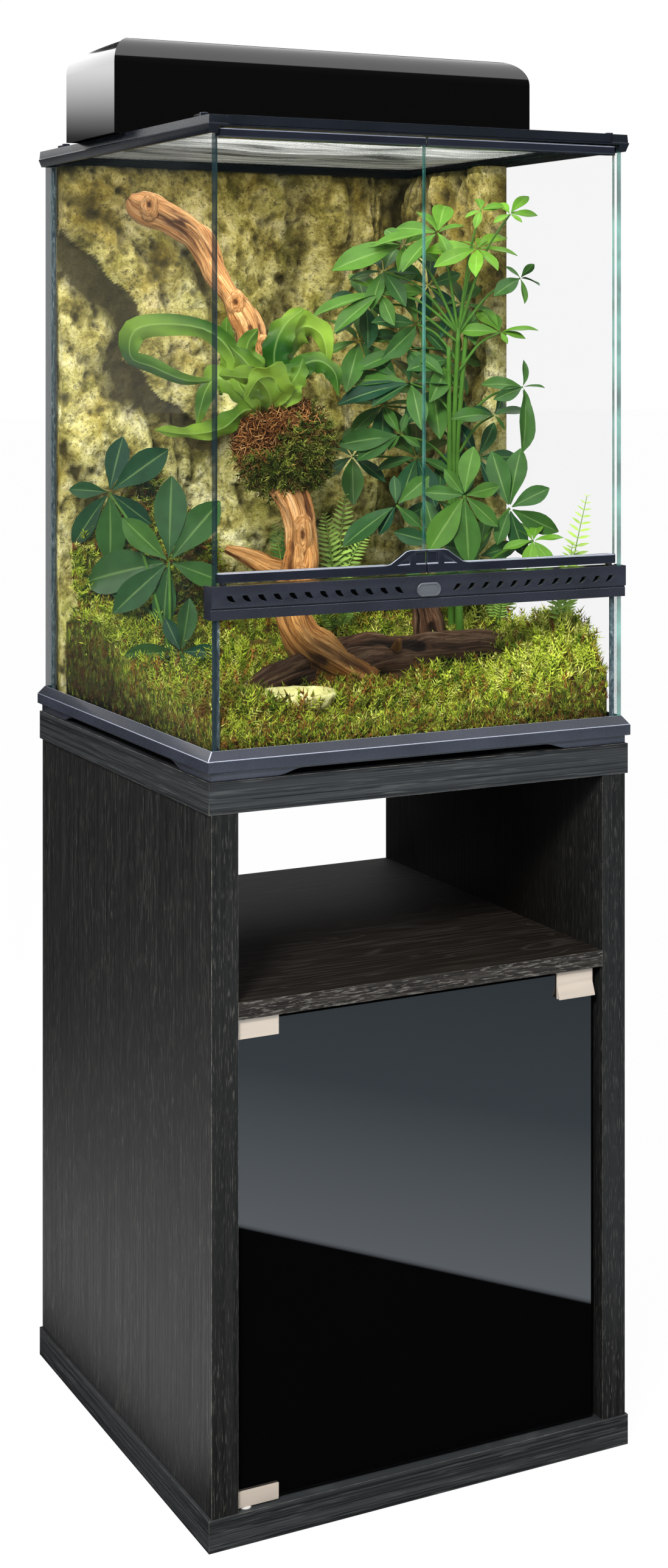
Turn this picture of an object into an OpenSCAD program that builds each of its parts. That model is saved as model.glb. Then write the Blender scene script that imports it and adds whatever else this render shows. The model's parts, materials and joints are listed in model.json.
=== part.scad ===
// Terrarium cabinet: an open-topped shelf cabinet with a glass door, a planted
// glass terrarium standing on it and a lamp hood on the terrarium's screen cover.
// Millimetres. Origin at the middle of the cabinet's underside, front faces -Y, +Z up.

/* [Cabinet] */
// Width of the cabinet's top and base panels
cabinet_w = 460; // [440:1:500]
// Depth of the cabinet's top and base panels
cabinet_d = 460; // [440:1:500]
// Height of the cabinet
cabinet_h = 705; // [600:1:900]
// Thickness of the top and base panels
panel_t = 30; // [24:1:40]
// Thickness of the side panels
side_t = 27; // [22:1:36]
// How far the top and base stand past the side panels
panel_reveal = 3; // [0:0.5:6]
// How far the front edges of sides and shelf lie behind the top's edge
front_reveal = 1; // [0:0.5:4]
// Thickness of the shelf
shelf_t = 16; // [14:1:24]
// Height of the shelf's upper face
shelf_top = 500; // [400:1:540]
// Thickness of the back panel behind the lower compartment
back_t = 4; // [3:0.5:8]
// Distance of the back panel from the rear edge
back_inset = 8; // [4:1:20]
// Diameter of the cable hole in the back panel
cable_hole_d = 50; // [30:1:70]
// Diameter of the wooden dowels that join the panels
dowel_d = 8; // [6:1:10]
// Length of the dowels
dowel_len = 30; // [20:1:40]

/* [Cabinet door] */
// Thickness of the door glass
door_glass_t = 5; // [4:0.5:6]
// How far the door glass lies behind the cabinet's front edge
door_recess = 8; // [7:0.5:12]
// Gap between the door glass and the hinge side panel
door_gap_hinge = 1.5; // [1:0.1:2]
// Gap between the door glass and the handle side panel
door_gap_pull = 8.5; // [3:0.5:12]
// Gap above and below the door glass
door_gap_ends = 4; // [3.8:0.1:6]
// Distance of the pivot from the glass's hinge edge
door_pivot_in = 9.5; // [9:0.5:14]
// Length of each hinge clip
clip_len = 42; // [34:1:50]
// Height of the upper hinge clip
upper_clip_h = 18; // [14:1:24]
// Height of the lower hinge clip
lower_clip_h = 15; // [12:1:24]
// Height of the door pull
pull_h = 26; // [20:1:34]
// Thickness of the clips' metal
clip_t = 1.8; // [1.5:0.1:2]
// Thickness of the pads between clip and glass
pad_t = 0.5; // [0.4:0.1:0.7]
// Diameter of the door's pivot pins
door_pin_d = 6; // [5:0.5:8]
// Depth of the pivot pins and bushes in the wood
door_pin_depth = 8; // [6:0.5:11]

/* [Terrarium] */
// How far the glass box lies inside the cabinet's edges
tank_margin = 5; // [3:0.5:12]
// Height of the terrarium from the cabinet to the top frame's upper face
tank_h = 612; // [560:1:700]
// Thickness of the fixed glass panes
glass_t = 5; // [4:0.5:6]
// Height of the base frame
base_frame_h = 28; // [26:1:36]
// How far the base frame stands out from the glass
base_frame_out = 7; // [5:0.5:9]
// Rise of the base frame's lower edge between its feet
base_arch = 6; // [3:0.5:8]
// Length of each foot of the base frame
base_foot_len = 78; // [50:1:110]
// Height of the floor glass's underside above the cabinet
floor_lift = 14; // [12:1:18]
// Height of the top frame
top_frame_h = 17; // [16:0.5:22]
// How far the top frame stands out from the glass
top_frame_out = 6; // [5:0.5:7]
// Height of the ventilation bar's lower edge above the cabinet
bar_base = 148; // [120:1:180]
// Height of the ventilation bar
bar_h = 31; // [28:1:38]
// How far the ventilation bar stands out from the glass
bar_out = 5.2; // [4:0.1:7]
// Number of slots on each side of the ventilation bar
bar_slots = 12; // [4:1:12]
// Distance between the slots
slot_pitch = 16; // [13:0.5:16]

/* [Terrarium doors] */
// Thickness of the door glass
tank_door_t = 4; // [3:0.5:5]
// Thickness of the door rails, front to back
rail_t = 14; // [12:0.5:14]
// Height of the door rails
rail_h = 9; // [8:0.5:10]
// Gap between the bottom rails and the ventilation bar
rail_gap = 2.5; // [2:0.1:4]
// Gap between the two doors
door_split = 1.5; // [1:0.1:3]
// Diameter of the hinge pins
hinge_pin_d = 4; // [3:0.5:5]
// Height of the finger grip at the middle of the bottom rails
grip_h = 13.5; // [10:0.5:18]
// Half width of the finger grip at its foot
grip_half = 46; // [36:1:60]

/* [Screen cover] */
// Width of the cover's frame
cover_frame_w = 13; // [10:0.5:18]
// Height of the cover's frame
cover_frame_h = 8; // [6:0.5:8]
// Depth of the fixed strip behind the cover
rear_strip = 35; // [32:1:45]
// Thickness of the mesh
mesh_t = 0.8; // [0.6:0.1:1.5]
// Width of one cable inlet
inlet_w = 34; // [20:1:36]
// Distance of the cable inlets from the middle
inlet_x = 110; // [90:1:120]

/* [Lamp hood] */
// How far the hood stands past the glass box at each end
hood_overhang = 17; // [10:1:24]
// Depth of the hood
hood_d = 137; // [120:1:160]
// Height of the hood
hood_h = 98; // [90:1:120]
// Distance of the hood's front from the middle, towards the front
hood_front = 24; // [0:1:60]
// Wall thickness of the hood
hood_wall = 3; // [2:0.5:4]
// Radius of the hood's rounded upper edges
hood_round = 27; // [15:1:35]
// Diameter of the lamp sockets
socket_d = 40; // [34:1:44]
// Length of the lamps
lamp_len = 118; // [90:1:150]
// Diameter of the lamps
lamp_d = 42; // [36:1:46]

/* [Planting] */
// Thickness of the rock background at its thinnest
rock_t = 12; // [8:1:20]
// Depth of the rock background's relief
rock_relief = 20; // [6:1:24]
// Length of the rock background's return along the right side
rock_return = 232; // [120:1:260]
// Depth of the ground at the front glass
ground_front = 30; // [20:1:40]
// Rise of the ground towards the back
ground_rise = 45; // [20:1:60]
// Outer diameter of the stone dish
dish_d = 74; // [50:1:76]
// Height of the stone dish
dish_h = 16; // [12:1:20]
// Diameter of the moss ball on the branch
moss_ball_d = 92; // [70:1:110]

/* [Hidden] */
$fn = 48;

seat = 0.05;          // clearance of a fixed round fit
run = 0.05;           // radial clearance of a turning fit
slip = 0.3;           // clearance between a moving piece and what it lies in
bite = 0.1;           // how far a cut runs past the face it opens

black_wood = "#1f2123";
nickel = "#cdbfae";
slate = "#3a3e4a";
navy = "#23262f";
clear_glass = [0.75, 0.88, 0.84, 0.35];
gloss_black = "#0c0c0d";
leaf_green = "#3f7f35";
pale_green = "#6fae3f";

// Cabinet, derived
half_w = cabinet_w / 2;
half_d = cabinet_d / 2;
side_out = half_w - panel_reveal;
side_in = side_out - side_t;
front_y = -half_d + front_reveal;
rear_y = half_d - front_reveal;
shelf_under = shelf_top - shelf_t;
dowel_x = side_in + side_t / 2;
dowel_end = 50;         // distance of the outer dowels from the panels' ends
shelf_dowel_end = 90;
dowel_rows = [-half_d + dowel_end, 0, half_d - dowel_end];
shelf_dowel_rows = [-half_d + shelf_dowel_end, half_d - shelf_dowel_end];
cable_hole_x = side_in / 2;
cable_hole_z = shelf_under - 70;
catch_w = 40;
catch_d = 15;
catch_h = 13;

// Cabinet door, derived
glass_front = -half_d + door_recess;
glass_mid = glass_front + door_glass_t / 2;
glass_left = -side_in + door_gap_hinge;
glass_right = side_in - door_gap_pull;
glass_low = panel_t + door_gap_ends;
glass_high = shelf_under - door_gap_ends;
pivot_x = glass_left + door_pivot_in;
clip_half = door_glass_t / 2 + pad_t + clip_t;
bush_r = door_pin_d / 2 + 2;
bush_flange = door_gap_ends - clip_t - pad_t - 0.1;
clip_screw_d = 4;
pull_flare = 4.5;
pull_flare_h = 13;

// Terrarium, derived
tank_z = cabinet_h;
tank_top = tank_z + tank_h;
hx = cabinet_w / 2 - tank_margin;
hy = cabinet_d / 2 - tank_margin;
glass_z = tank_z + floor_lift;
top_z = tank_top - top_frame_h;
ledge_under = 6.5;
ledge_t = 1.8;
pane_top = top_z + ledge_under - 0.2;
wall_in = 8;
ledge_in = 20;
frame_lean = 1.4;
bar_z = tank_z + bar_base;
bar_top = bar_z + bar_h;
bar_front = -hy - bar_out;
plate_h = 13;
plate_t = 1.8;
bar_back = -hy + 13;
bar_half = hx + 2.5;
bar_wall = 3;
bar_rear_wall = 2;
bar_slit = 6;
bar_foot = 8;
bar_groove = 5;
bar_step = 9;
bar_skirt = 1.5;
bar_notch = 2.2;
slot_w = 9.5;
slot_h = 6.5;
slot_low = 15.5;
slot_first = 27;
seal_r = 5;
joint_gap = 0.2;        // silicone joint between two panes
lock_rise = 18;         // height of the lock plate's middle on the bar

// Terrarium doors, derived
pin_y = -hy + 4;
pin_x = hx - glass_t - rail_t / 2 - 0.5;
bottom_rail_z = bar_top + rail_gap;
top_rail_z = top_z + ledge_under - 1 - rail_h;
rail_floor = 2.5;
pane_low = bottom_rail_z + rail_floor;
pane_high = top_rail_z + rail_h - rail_floor;
pane_edge = pin_x + rail_t / 2 - 1;
pin_depth = 5;
boss_r = hinge_pin_d / 2 + 3;
pocket_half = 12;
pocket_depth = 2.5;
flank_depth = 1.5;

// Screen cover, derived
cover_half = hx - wall_in - 0.5;
cover_front = -hy + wall_in + 0.5;
cover_rear = hy - rear_strip - 0.5;
cover_mid = (cover_front + cover_rear) / 2;
cover_half_d = (cover_rear - cover_front) / 2;
cover_z = top_z + ledge_under + ledge_t;
strip_low = 8.5;
strip_round = 10;
strip_out = 7;
strip_half = hx - 9;
clip_x = hx - 1;
clip_front_y = -hy + 20;
clip_rear_y = hy - 62;
clip_pin_d = 3;
clip_pin_depth = 7;
clip_boss_r = 4;
clip_tongue = 16;
clip_tongue_w = 7;
inlet_d = 12;
inlet_y = hy - 22;
slider_w = inlet_w + 10;
slider_d = inlet_d + 8;
slider_t = 2.2;
slider_travel = inlet_w + 2;
slider_gap = 0.2;
grip_rib = 1.2;

// Planting, derived
inside_x = hx - glass_t;
inside_y = hy - glass_t;
rock_z = glass_z + glass_t;
rock_top = top_z - 4;
ground_z = rock_z;
bed_z = ground_z + ground_front;      // the planting's points start here, behind the front glass
bed_to_frame = 546;                   // height over the bed that they were placed for

// Hood, derived
hood_w = 2 * hx + 2 * hood_overhang;
hood_z = tank_top;
hood_back = hood_d - hood_front;
hood_mid = (hood_back - hood_front) / 2;
lamp_z = hood_z + hood_h / 2;
socket_len = 34;
socket_end = hood_w / 2 - hood_wall - socket_len;
lamp_neck = 24;
lamp_neck_d = 28;
gland_r = 6;
gland_z = hood_z + 24;

// ---------------------------------------------------------------- shared shapes

// Box between two corners
module block(low, high) {
    translate(low) cube(high - low);
}

// Vertical round bore or pin
module rod(x, y, z_low, z_high, r) {
    translate([x, y, z_low]) cylinder(h = z_high - z_low, r = r);
}

// Round bar along X
module bar_x(x_low, x_high, y, z, r) {
    translate([x_low, y, z]) rotate([0, 90, 0]) cylinder(h = x_high - x_low, r = r);
}

// Mirrored copy at the other side as well
module both_sides() {
    children();
    mirror([1, 0, 0]) children();
}

// One mitred side of a ring. The outline's first value is the distance outwards from
// the line at "out", its second the height.
module ring_side(across, out, outline) {
    past = 30;      // beyond the ring's widest outline
    into = 90;      // inwards of its narrowest
    intersection() {
        translate([-across - past, out, 0]) rotate([90, 0, 90])
            linear_extrude(2 * (across + past)) polygon(outline);
        translate([0, 0, -into]) linear_extrude(2 * into)
            polygon([[-across - past, out + past], [across + past, out + past],
                     [across - into, out - into], [-across + into, out - into]]);
    }
}

// Rectangular ring with mitred corners round the rectangle of the given half sizes
module ring(half_x, half_y, outline) {
    ring_side(half_x, half_y, outline);
    rotate(180) ring_side(half_x, half_y, outline);
    rotate(90) ring_side(half_y, half_x, outline);
    rotate(-90) ring_side(half_y, half_x, outline);
}

function unit(v) = v / norm(v);

// Direction of a path at point i
function heading(path, i) =
    unit(path[min(i + 1, len(path) - 1)] - path[max(i - 1, 0)]);

// Ring of points round one point of a path
function tube_ring(p, t, up, r, sides) =
    let (n = unit(cross(t, up)), b = cross(t, n))
    [for (k = [0 : sides - 1]) p + r * (cos(360 * k / sides) * n + sin(360 * k / sides) * b)];

// Tapering tube along a path, one radius per point
module tube(path, radii, sides = 9, up = [0, 1, 0]) {
    rings = len(path);
    points = [for (i = [0 : rings - 1]) each tube_ring(path[i], heading(path, i), up, radii[i], sides)];
    walls = [for (i = [0 : rings - 2]) for (k = [0 : sides - 1])
        let (a = i * sides + k, b = i * sides + (k + 1) % sides, c = b + sides, d = a + sides)
        each [[a, d, c], [a, c, b]]];
    low_cap = [for (k = [0 : sides - 1]) k];
    high_cap = [for (k = [sides - 1 : -1 : 0]) (rings - 1) * sides + k];
    polyhedron(points, concat(walls, [low_cap, high_cap]));
}

// Relief slab: rows of top points from left to right, the rows from front to back,
// over an underside at z = 0 with the same outline
module relief(rows) {
    nx = len(rows[0]) - 1;
    ny = len(rows) - 1;
    row = nx + 1;
    base = row * (ny + 1);
    tops = [for (r = rows) each r];
    lows = [for (r = rows) each [[r[0][0], r[0][1], 0], [r[nx][0], r[nx][1], 0]]];
    skin = [for (j = [0 : ny - 1]) for (i = [0 : nx - 1])
        let (a = j * row + i, b = a + 1, c = b + row, d = a + row)
        each [[a, d, c], [a, c, b]]];
    front = concat([for (i = [0 : nx]) i], [base + 1, base]);
    back = concat([for (i = [nx : -1 : 0]) ny * row + i], [base + 2 * ny, base + 2 * ny + 1]);
    sides = [for (j = [0 : ny - 1]) let (a = j * row, b = a + row, low = base + 2 * j)
        each [[b, a, low, low + 2], [a + nx, b + nx, low + 3, low + 1], [low, low + 1, low + 3, low + 2]]];
    polyhedron(concat(tops, lows), concat(skin, [front, back], sides));
}

// ---------------------------------------------------------------- cabinet

// Dowels between the sides and the top and base
module upright_dowels(r, half_len) {
    for (y = dowel_rows, z = [panel_t, cabinet_h - panel_t])
        both_sides() rod(dowel_x, y, z - half_len, z + half_len, r);
}

// Dowels between the sides and the shelf
module shelf_dowels(r, half_len) {
    for (y = shelf_dowel_rows)
        both_sides() bar_x(side_in - half_len, side_in + half_len, y, shelf_top - shelf_t / 2, r);
}

module top_panel() {
    color(black_wood) difference() {
        block([-half_w, -half_d, cabinet_h - panel_t], [half_w, half_d, cabinet_h]);
        upright_dowels(dowel_d / 2 + seat, dowel_len / 2 + seat);
    }
}

module base_panel() {
    color(black_wood) difference() {
        block([-half_w, -half_d, 0], [half_w, half_d, panel_t]);
        upright_dowels(dowel_d / 2 + seat, dowel_len / 2 + seat);
        rod(pivot_x, glass_mid, panel_t - door_pin_depth, panel_t + bite, bush_r + seat);
    }
}

module side_panel() {
    color(black_wood) difference() {
        block([side_in, front_y, panel_t], [side_out, rear_y, cabinet_h - panel_t]);
        upright_dowels(dowel_d / 2 + seat, dowel_len / 2 + seat);
        shelf_dowels(dowel_d / 2 + seat, dowel_len / 2 + seat);
    }
}

module left_side_panel() {
    mirror([1, 0, 0]) side_panel();
}

module right_side_panel() {
    side_panel();
}

module shelf() {
    color(black_wood) difference() {
        block([-side_in, front_y, shelf_under], [side_in, rear_y, shelf_top]);
        shelf_dowels(dowel_d / 2 + seat, dowel_len / 2 + seat);
        rod(pivot_x, glass_mid, shelf_under - bite, shelf_under + door_pin_depth, bush_r + seat);
    }
}

module back_panel() {
    color(black_wood) difference() {
        block([-side_in, half_d - back_inset - back_t, panel_t],
              [side_in, half_d - back_inset, shelf_under]);
        translate([cable_hole_x, half_d - back_inset + bite, cable_hole_z])
            rotate([90, 0, 0]) cylinder(h = back_t + 2 * bite, d = cable_hole_d);
    }
}

module panel_dowels() {
    color("#b98f5e") {
        upright_dowels(dowel_d / 2, dowel_len / 2);
        shelf_dowels(dowel_d / 2, dowel_len / 2);
    }
}

// Flanged bush that stands on the base, and a plain one in the shelf
module pivot_bushes() {
    color("#d8d8d4") {
        difference() {
            union() {
                rod(pivot_x, glass_mid, panel_t - door_pin_depth, panel_t, bush_r);
                rod(pivot_x, glass_mid, panel_t, panel_t + bush_flange, bush_r + 1);
            }
            rod(pivot_x, glass_mid, panel_t - door_pin_depth - bite, panel_t + bush_flange + bite,
                door_pin_d / 2 + run);
        }
        difference() {
            rod(pivot_x, glass_mid, shelf_under, shelf_under + door_pin_depth, bush_r);
            rod(pivot_x, glass_mid, shelf_under - bite, shelf_under + door_pin_depth + bite,
                door_pin_d / 2 + run);
        }
    }
}

// Magnetic catch under the shelf, behind the door pull
module magnet_catch() {
    catch_y = glass_mid + clip_half + slip;
    catch_mid = glass_right - clip_len / 2;
    color("#2c2c2e") block([catch_mid - catch_w / 2, catch_y, shelf_under - catch_h],
                           [catch_mid + catch_w / 2, catch_y + catch_d, shelf_under]);
}

// ---------------------------------------------------------------- cabinet door

module cabinet_door_glass() {
    color(gloss_black) block([glass_left, glass_front, glass_low],
                             [glass_right, glass_front + door_glass_t, glass_high]);
}

// Clip over the glass's upper edge, standing on z = 0 at the glass's edge and pointing down
module edge_clip(x, height) {
    difference() {
        block([x, glass_mid - clip_half, -height + pad_t + clip_t],
              [x + clip_len, glass_mid + clip_half, pad_t + clip_t]);
        block([x - bite, glass_mid - clip_half + clip_t, -height],
              [x + clip_len + bite, glass_mid + clip_half - clip_t, pad_t]);
        translate([x + clip_len / 2, glass_mid, -height / 2 + 1]) rotate([-90, 0, 0])
            cylinder(h = clip_half + bite, d = clip_screw_d + 2 * run);
    }
}

module upper_hinge_clip() {
    color(nickel) translate([0, 0, glass_high]) edge_clip(glass_left, upper_clip_h);
}

module lower_hinge_clip() {
    color(nickel) translate([0, 0, glass_low]) mirror([0, 0, 1]) edge_clip(glass_left, lower_clip_h);
}

// Door pull: a clip whose front flares outwards at its lower edge
module door_pull() {
    lip_y = glass_mid - clip_half;
    low = -pull_h + pad_t + clip_t;
    color(nickel) translate([0, 0, glass_high]) {
        edge_clip(glass_right - clip_len, pull_h);
        translate([glass_right - clip_len, 0, 0]) rotate([90, 0, 90]) linear_extrude(clip_len)
            polygon([[lip_y, low + pull_flare_h], [lip_y - pull_flare, low + 1.5], [lip_y - pull_flare, low],
                     [lip_y - pull_flare + 1.5, low], [lip_y, low + 5]]);
    }
}

// Two pads in each clip, one on each face of the glass
module pad_pair(x, z_low, z_high) {
    for (y = [glass_front - pad_t, glass_front + door_glass_t])
        block([x + 1, y, z_low], [x + clip_len - 1, y + pad_t, z_high]);
}

module clip_pads() {
    color("#d9d9d6") difference() {
        union() {
            pad_pair(glass_left, glass_high - upper_clip_h + 4, glass_high);
            pad_pair(glass_left, glass_low, glass_low + lower_clip_h - 4);
            pad_pair(glass_right - clip_len, glass_high - pull_h + 4, glass_high);
        }
        clip_screw_set(clip_screw_d / 2 + run, 0);
    }
}

// Set screws through the back of each clip onto the glass
module clip_screw_set(r, proud) {
    starts = [[glass_left, glass_high - upper_clip_h / 2 + 1],
              [glass_left, glass_low + lower_clip_h / 2 - 1],
              [glass_right - clip_len, glass_high - pull_h / 2 + 1]];
    for (s = starts)
        translate([s[0] + clip_len / 2, glass_front + door_glass_t, s[1]]) rotate([-90, 0, 0])
            cylinder(h = pad_t + clip_t + proud, r = r);
}

module clip_screws() {
    color("#9a9a98") clip_screw_set(clip_screw_d / 2, -0.2);
}

module door_pivot_pins() {
    plate = pad_t + clip_t;
    color("#b9b9b6") {
        rod(pivot_x, glass_mid, glass_high + plate, shelf_under + door_pin_depth - 0.5, door_pin_d / 2);
        rod(pivot_x, glass_mid, panel_t - door_pin_depth + 0.5, glass_low - plate, door_pin_d / 2);
    }
}

// ---------------------------------------------------------------- terrarium frame and glass

// Outline of the cut under one side of the base frame: a flat arch with curved ends
module arch_outline(half) {
    flat = half - base_foot_len;
    curve = 14;
    polygon(concat(
        [[-half + base_foot_len - curve, -bite]],
        [for (i = [0 : 6]) [-flat - curve + 2 * curve * i / 6, base_arch * (1 - cos(30 * i)) / 2]],
        [for (i = [6 : -1 : 0]) [flat + curve - 2 * curve * i / 6, base_arch * (1 - cos(30 * i)) / 2]],
        [[flat + curve, -bite]]));
}

module base_frame() {
    out = base_frame_out;
    step = 0.3 * base_frame_h;
    face = 0.68 * base_frame_h;
    color(slate) translate([0, 0, tank_z]) difference() {
        ring(hx, hy, [[3, 0], [3, step], [out, step], [out, face], [0.7, base_frame_h - 0.4],
                      [0.2, base_frame_h], [0.2, floor_lift], [-ledge_in, floor_lift],
                      [-ledge_in, floor_lift - 3], [-3, floor_lift - 3], [-3, 0]]);
        translate([0, hy + 20, 0]) rotate([90, 0, 0]) linear_extrude(2 * hy + 40) arch_outline(hx);
        rotate(90) translate([0, hx + 20, 0]) rotate([90, 0, 0]) linear_extrude(2 * hx + 40) arch_outline(hy);
    }
}

module floor_glass() {
    color(clear_glass) block([-inside_x + joint_gap, -inside_y + joint_gap, glass_z],
                             [inside_x - joint_gap, inside_y - joint_gap, glass_z + glass_t]);
}

module side_glass() {
    color(clear_glass) block([inside_x, -hy, glass_z], [hx, hy, pane_top]);
}

module left_glass() {
    mirror([1, 0, 0]) side_glass();
}

module right_glass() {
    side_glass();
}

module back_glass() {
    color(clear_glass) block([-inside_x, inside_y, glass_z], [inside_x, hy, pane_top]);
}

module lower_front_glass() {
    color(clear_glass) block([-inside_x, -hy, glass_z], [inside_x, -inside_y, bar_z + bar_groove]);
}

// Quarter-round silicone beads in the four corners and round the floor
module glass_seals() {
    low = glass_z + glass_t;
    color("#3b4652") both_sides() {
        intersection() {
            rod(inside_x, -inside_y, low, bar_z, seal_r);
            block([0, -inside_y, low], [inside_x, 0, bar_z]);
        }
        intersection() {
            rod(inside_x, inside_y, low, top_z, seal_r);
            block([0, 0, low], [inside_x, inside_y, top_z]);
        }
    }
}

// Slot of the ventilation bar: flat top, straight inner edge and a curved outer edge
module slot_outline() {
    polygon(concat([[0.45 * slot_w, slot_h]],
                   [for (i = [0 : 5]) [slot_w * cos(18 * i), slot_h * (1 - sin(18 * i))]]));
}

module vent_bar() {
    front = bar_front;
    color("#2b2e37") difference() {
        union() {
            difference() {
                block([-bar_half, front, bar_z], [bar_half, bar_back, bar_top]);
                block([-inside_x + 6, front + bar_wall, bar_z + bar_foot],
                      [inside_x - 6, bar_back - bar_rear_wall, bar_top - bar_wall]);
                block([-inside_x + 6, front + bar_wall, bar_top - bar_wall - bar_slit],
                      [inside_x - 6, bar_back + bite, bar_top - bar_wall]);
                block([-bar_half - bite, front - bite, bar_z - bite],
                      [bar_half + bite, front + bar_skirt, bar_z + bar_step]);
                block([-bar_half - bite, front - bite, bar_z + bar_step],
                      [bar_half + bite, front + bar_notch, bar_z + bar_step + 2]);
            }
            both_sides() rod(pin_x, pin_y, bar_top - pin_depth - 2, bar_top, boss_r);
        }
        both_sides() {
            block([inside_x - bite, -hy - bite, bar_z - bite], [hx + bite, bar_back + bite, bar_top + bite]);
            rod(pin_x, pin_y, bar_top - pin_depth, bar_top + bite, hinge_pin_d / 2 + run);
            for (i = [0 : bar_slots - 1])
                translate([slot_first + i * slot_pitch, front + bar_wall + bite, bar_z + slot_low])
                    rotate([90, 0, 0]) linear_extrude(bar_wall + 2 * bite) slot_outline();
        }
        block([-inside_x, -hy, bar_z - bite], [inside_x, -inside_y, bar_z + bar_groove]);
    }
}

// Bare oval plate at the middle of the ventilation bar
module lock_plate() {
    color("#15171c") translate([0, bar_front, bar_z + lock_rise]) rotate([90, 0, 0]) linear_extrude(plate_t)
        union() {
            square([plate_h, plate_h], center = true);
            for (x = [-plate_h / 2, plate_h / 2]) translate([x, 0]) circle(d = plate_h);
        }
}

// ---------------------------------------------------------------- terrarium doors

// Pane of the right door
module door_pane() {
    block([door_split / 2, pin_y - tank_door_t / 2, pane_low],
          [pane_edge, pin_y + tank_door_t / 2, pane_high]);
}

// Rail of the right door, round at its hinge end
module door_rail(z_low) {
    block([door_split / 2, pin_y - rail_t / 2, z_low], [pin_x, pin_y + rail_t / 2, z_low + rail_h]);
    rod(pin_x, pin_y, z_low, z_low + rail_h, rail_t / 2);
}

// Finger grip at the middle of the bottom rail, in front of the pane
module finger_grip() {
    front = pin_y - rail_t / 2;
    depth = rail_t / 2 - tank_door_t / 2;
    z_low = bottom_rail_z;
    z_high = bottom_rail_z + rail_h + grip_h;
    difference() {
        translate([0, front + depth, 0]) rotate([90, 0, 0]) linear_extrude(depth)
            polygon([[door_split / 2, z_low + 1], [grip_half, z_low + 1], [grip_half, z_low + rail_h],
                     [grip_half - 6, z_low + rail_h + 1], [0.62 * grip_half, z_high - 5],
                     [0.5 * grip_half, z_high - 1], [0.4 * grip_half, z_high], [door_split / 2, z_high]]);
        block([0, front - bite, z_low + 5], [pocket_half, front + pocket_depth, z_high - 2]);
        translate([0, front + flank_depth, 0]) rotate([90, 0, 0]) linear_extrude(flank_depth + bite)
            polygon([[pocket_half + 7, z_low + 5], [grip_half - 9, z_low + 5], [pocket_half + 7, z_high - 6]]);
    }
}

module bottom_rail() {
    color(navy) difference() {
        union() {
            door_rail(bottom_rail_z);
            finger_grip();
        }
        door_pane();
    }
}

module top_rail() {
    color(navy) difference() {
        door_rail(top_rail_z);
        door_pane();
    }
}

// Pins below and above the rails; the lower one has a shoulder that carries the door
module hinge_pins() {
    color("#8d8f92") {
        rod(pin_x, pin_y, bar_top - pin_depth + 0.3, bottom_rail_z, hinge_pin_d / 2);
        rod(pin_x, pin_y, bar_top + 0.1, bottom_rail_z, hinge_pin_d / 2 + 1.5);
        rod(pin_x, pin_y, top_rail_z + rail_h, top_z + ledge_under + pin_depth - 0.3, hinge_pin_d / 2);
    }
}

module left_door_glass() { color(clear_glass) mirror([1, 0, 0]) door_pane(); }
module right_door_glass() { color(clear_glass) door_pane(); }
module left_bottom_rail() { mirror([1, 0, 0]) bottom_rail(); }
module right_bottom_rail() { bottom_rail(); }
module left_top_rail() { mirror([1, 0, 0]) top_rail(); }
module right_top_rail() { top_rail(); }
module left_hinge_pins() { mirror([1, 0, 0]) hinge_pins(); }
module right_hinge_pins() { hinge_pins(); }

// ---------------------------------------------------------------- top frame and cover

// Slot and slider recess of the right cable inlet
module inlet_cut() {
    block([inlet_x - inlet_w / 2, inlet_y - inlet_d / 2, top_z - bite],
          [inlet_x + inlet_w / 2, inlet_y + inlet_d / 2, tank_top + bite]);
    side = slider_w / 2 + slider_gap;
    deep = slider_d / 2 + slider_gap;
    block([inlet_x - side, inlet_y - deep, tank_top - slider_t - slip],
          [inlet_x + side + slider_travel, inlet_y + deep, tank_top + bite]);
}

module top_frame() {
    out = top_frame_out;
    color(navy) difference() {
        union() {
            translate([0, 0, top_z])
                ring(hx, hy, [[joint_gap, 0], [out - 2.5, 0], [out, 8], [out - 0.8, 9.2],
                              [out - frame_lean, top_frame_h], [-wall_in, top_frame_h],
                              [-wall_in, ledge_under + ledge_t], [-ledge_in, ledge_under + ledge_t],
                              [-ledge_in, ledge_under], [joint_gap, ledge_under]]);
            block([-hx + wall_in, hy - rear_strip, top_z], [hx - wall_in, inside_y - joint_gap, tank_top]);
            block([-hx + wall_in, hy - rear_strip - cover_frame_w, top_z + ledge_under],
                  [hx - wall_in, hy - rear_strip, top_z + ledge_under + ledge_t]);
            front_strip();
        }
        block([-inside_x - bite, -hy - out - bite, top_z - bite],
              [inside_x + bite, -hy + ledge_in + 2, top_z + ledge_under]);
        both_sides() {
            rod(pin_x, pin_y, top_z, top_z + ledge_under + pin_depth, hinge_pin_d / 2 + run);
            for (y = [clip_front_y, clip_rear_y])
                rod(clip_x, y, tank_top - clip_pin_depth, tank_top + bite, clip_pin_d / 2 + run);
            inlet_cut();
        }
    }
}

// Moulded strip along the front, with rounded corners
module front_strip() {
    reach = strip_out;
    translate([0, -hy - reach, top_z + strip_low]) linear_extrude(top_frame_h - strip_low) union() {
        translate([-strip_half + strip_round, 0]) square([2 * strip_half - 2 * strip_round, reach]);
        both_sides() intersection() {
            translate([strip_half - strip_round, strip_round]) circle(r = strip_round);
            translate([0, 0]) square([strip_half, reach]);
        }
    }
}

module cover_frame() {
    color("#1b1d22") translate([0, cover_mid, cover_z]) difference() {
        ring(cover_half, cover_half_d,
             [[0, 0], [0, cover_frame_h], [-cover_frame_w, cover_frame_h], [-cover_frame_w, 0]]);
        cover_mesh_plate();
    }
}

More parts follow.
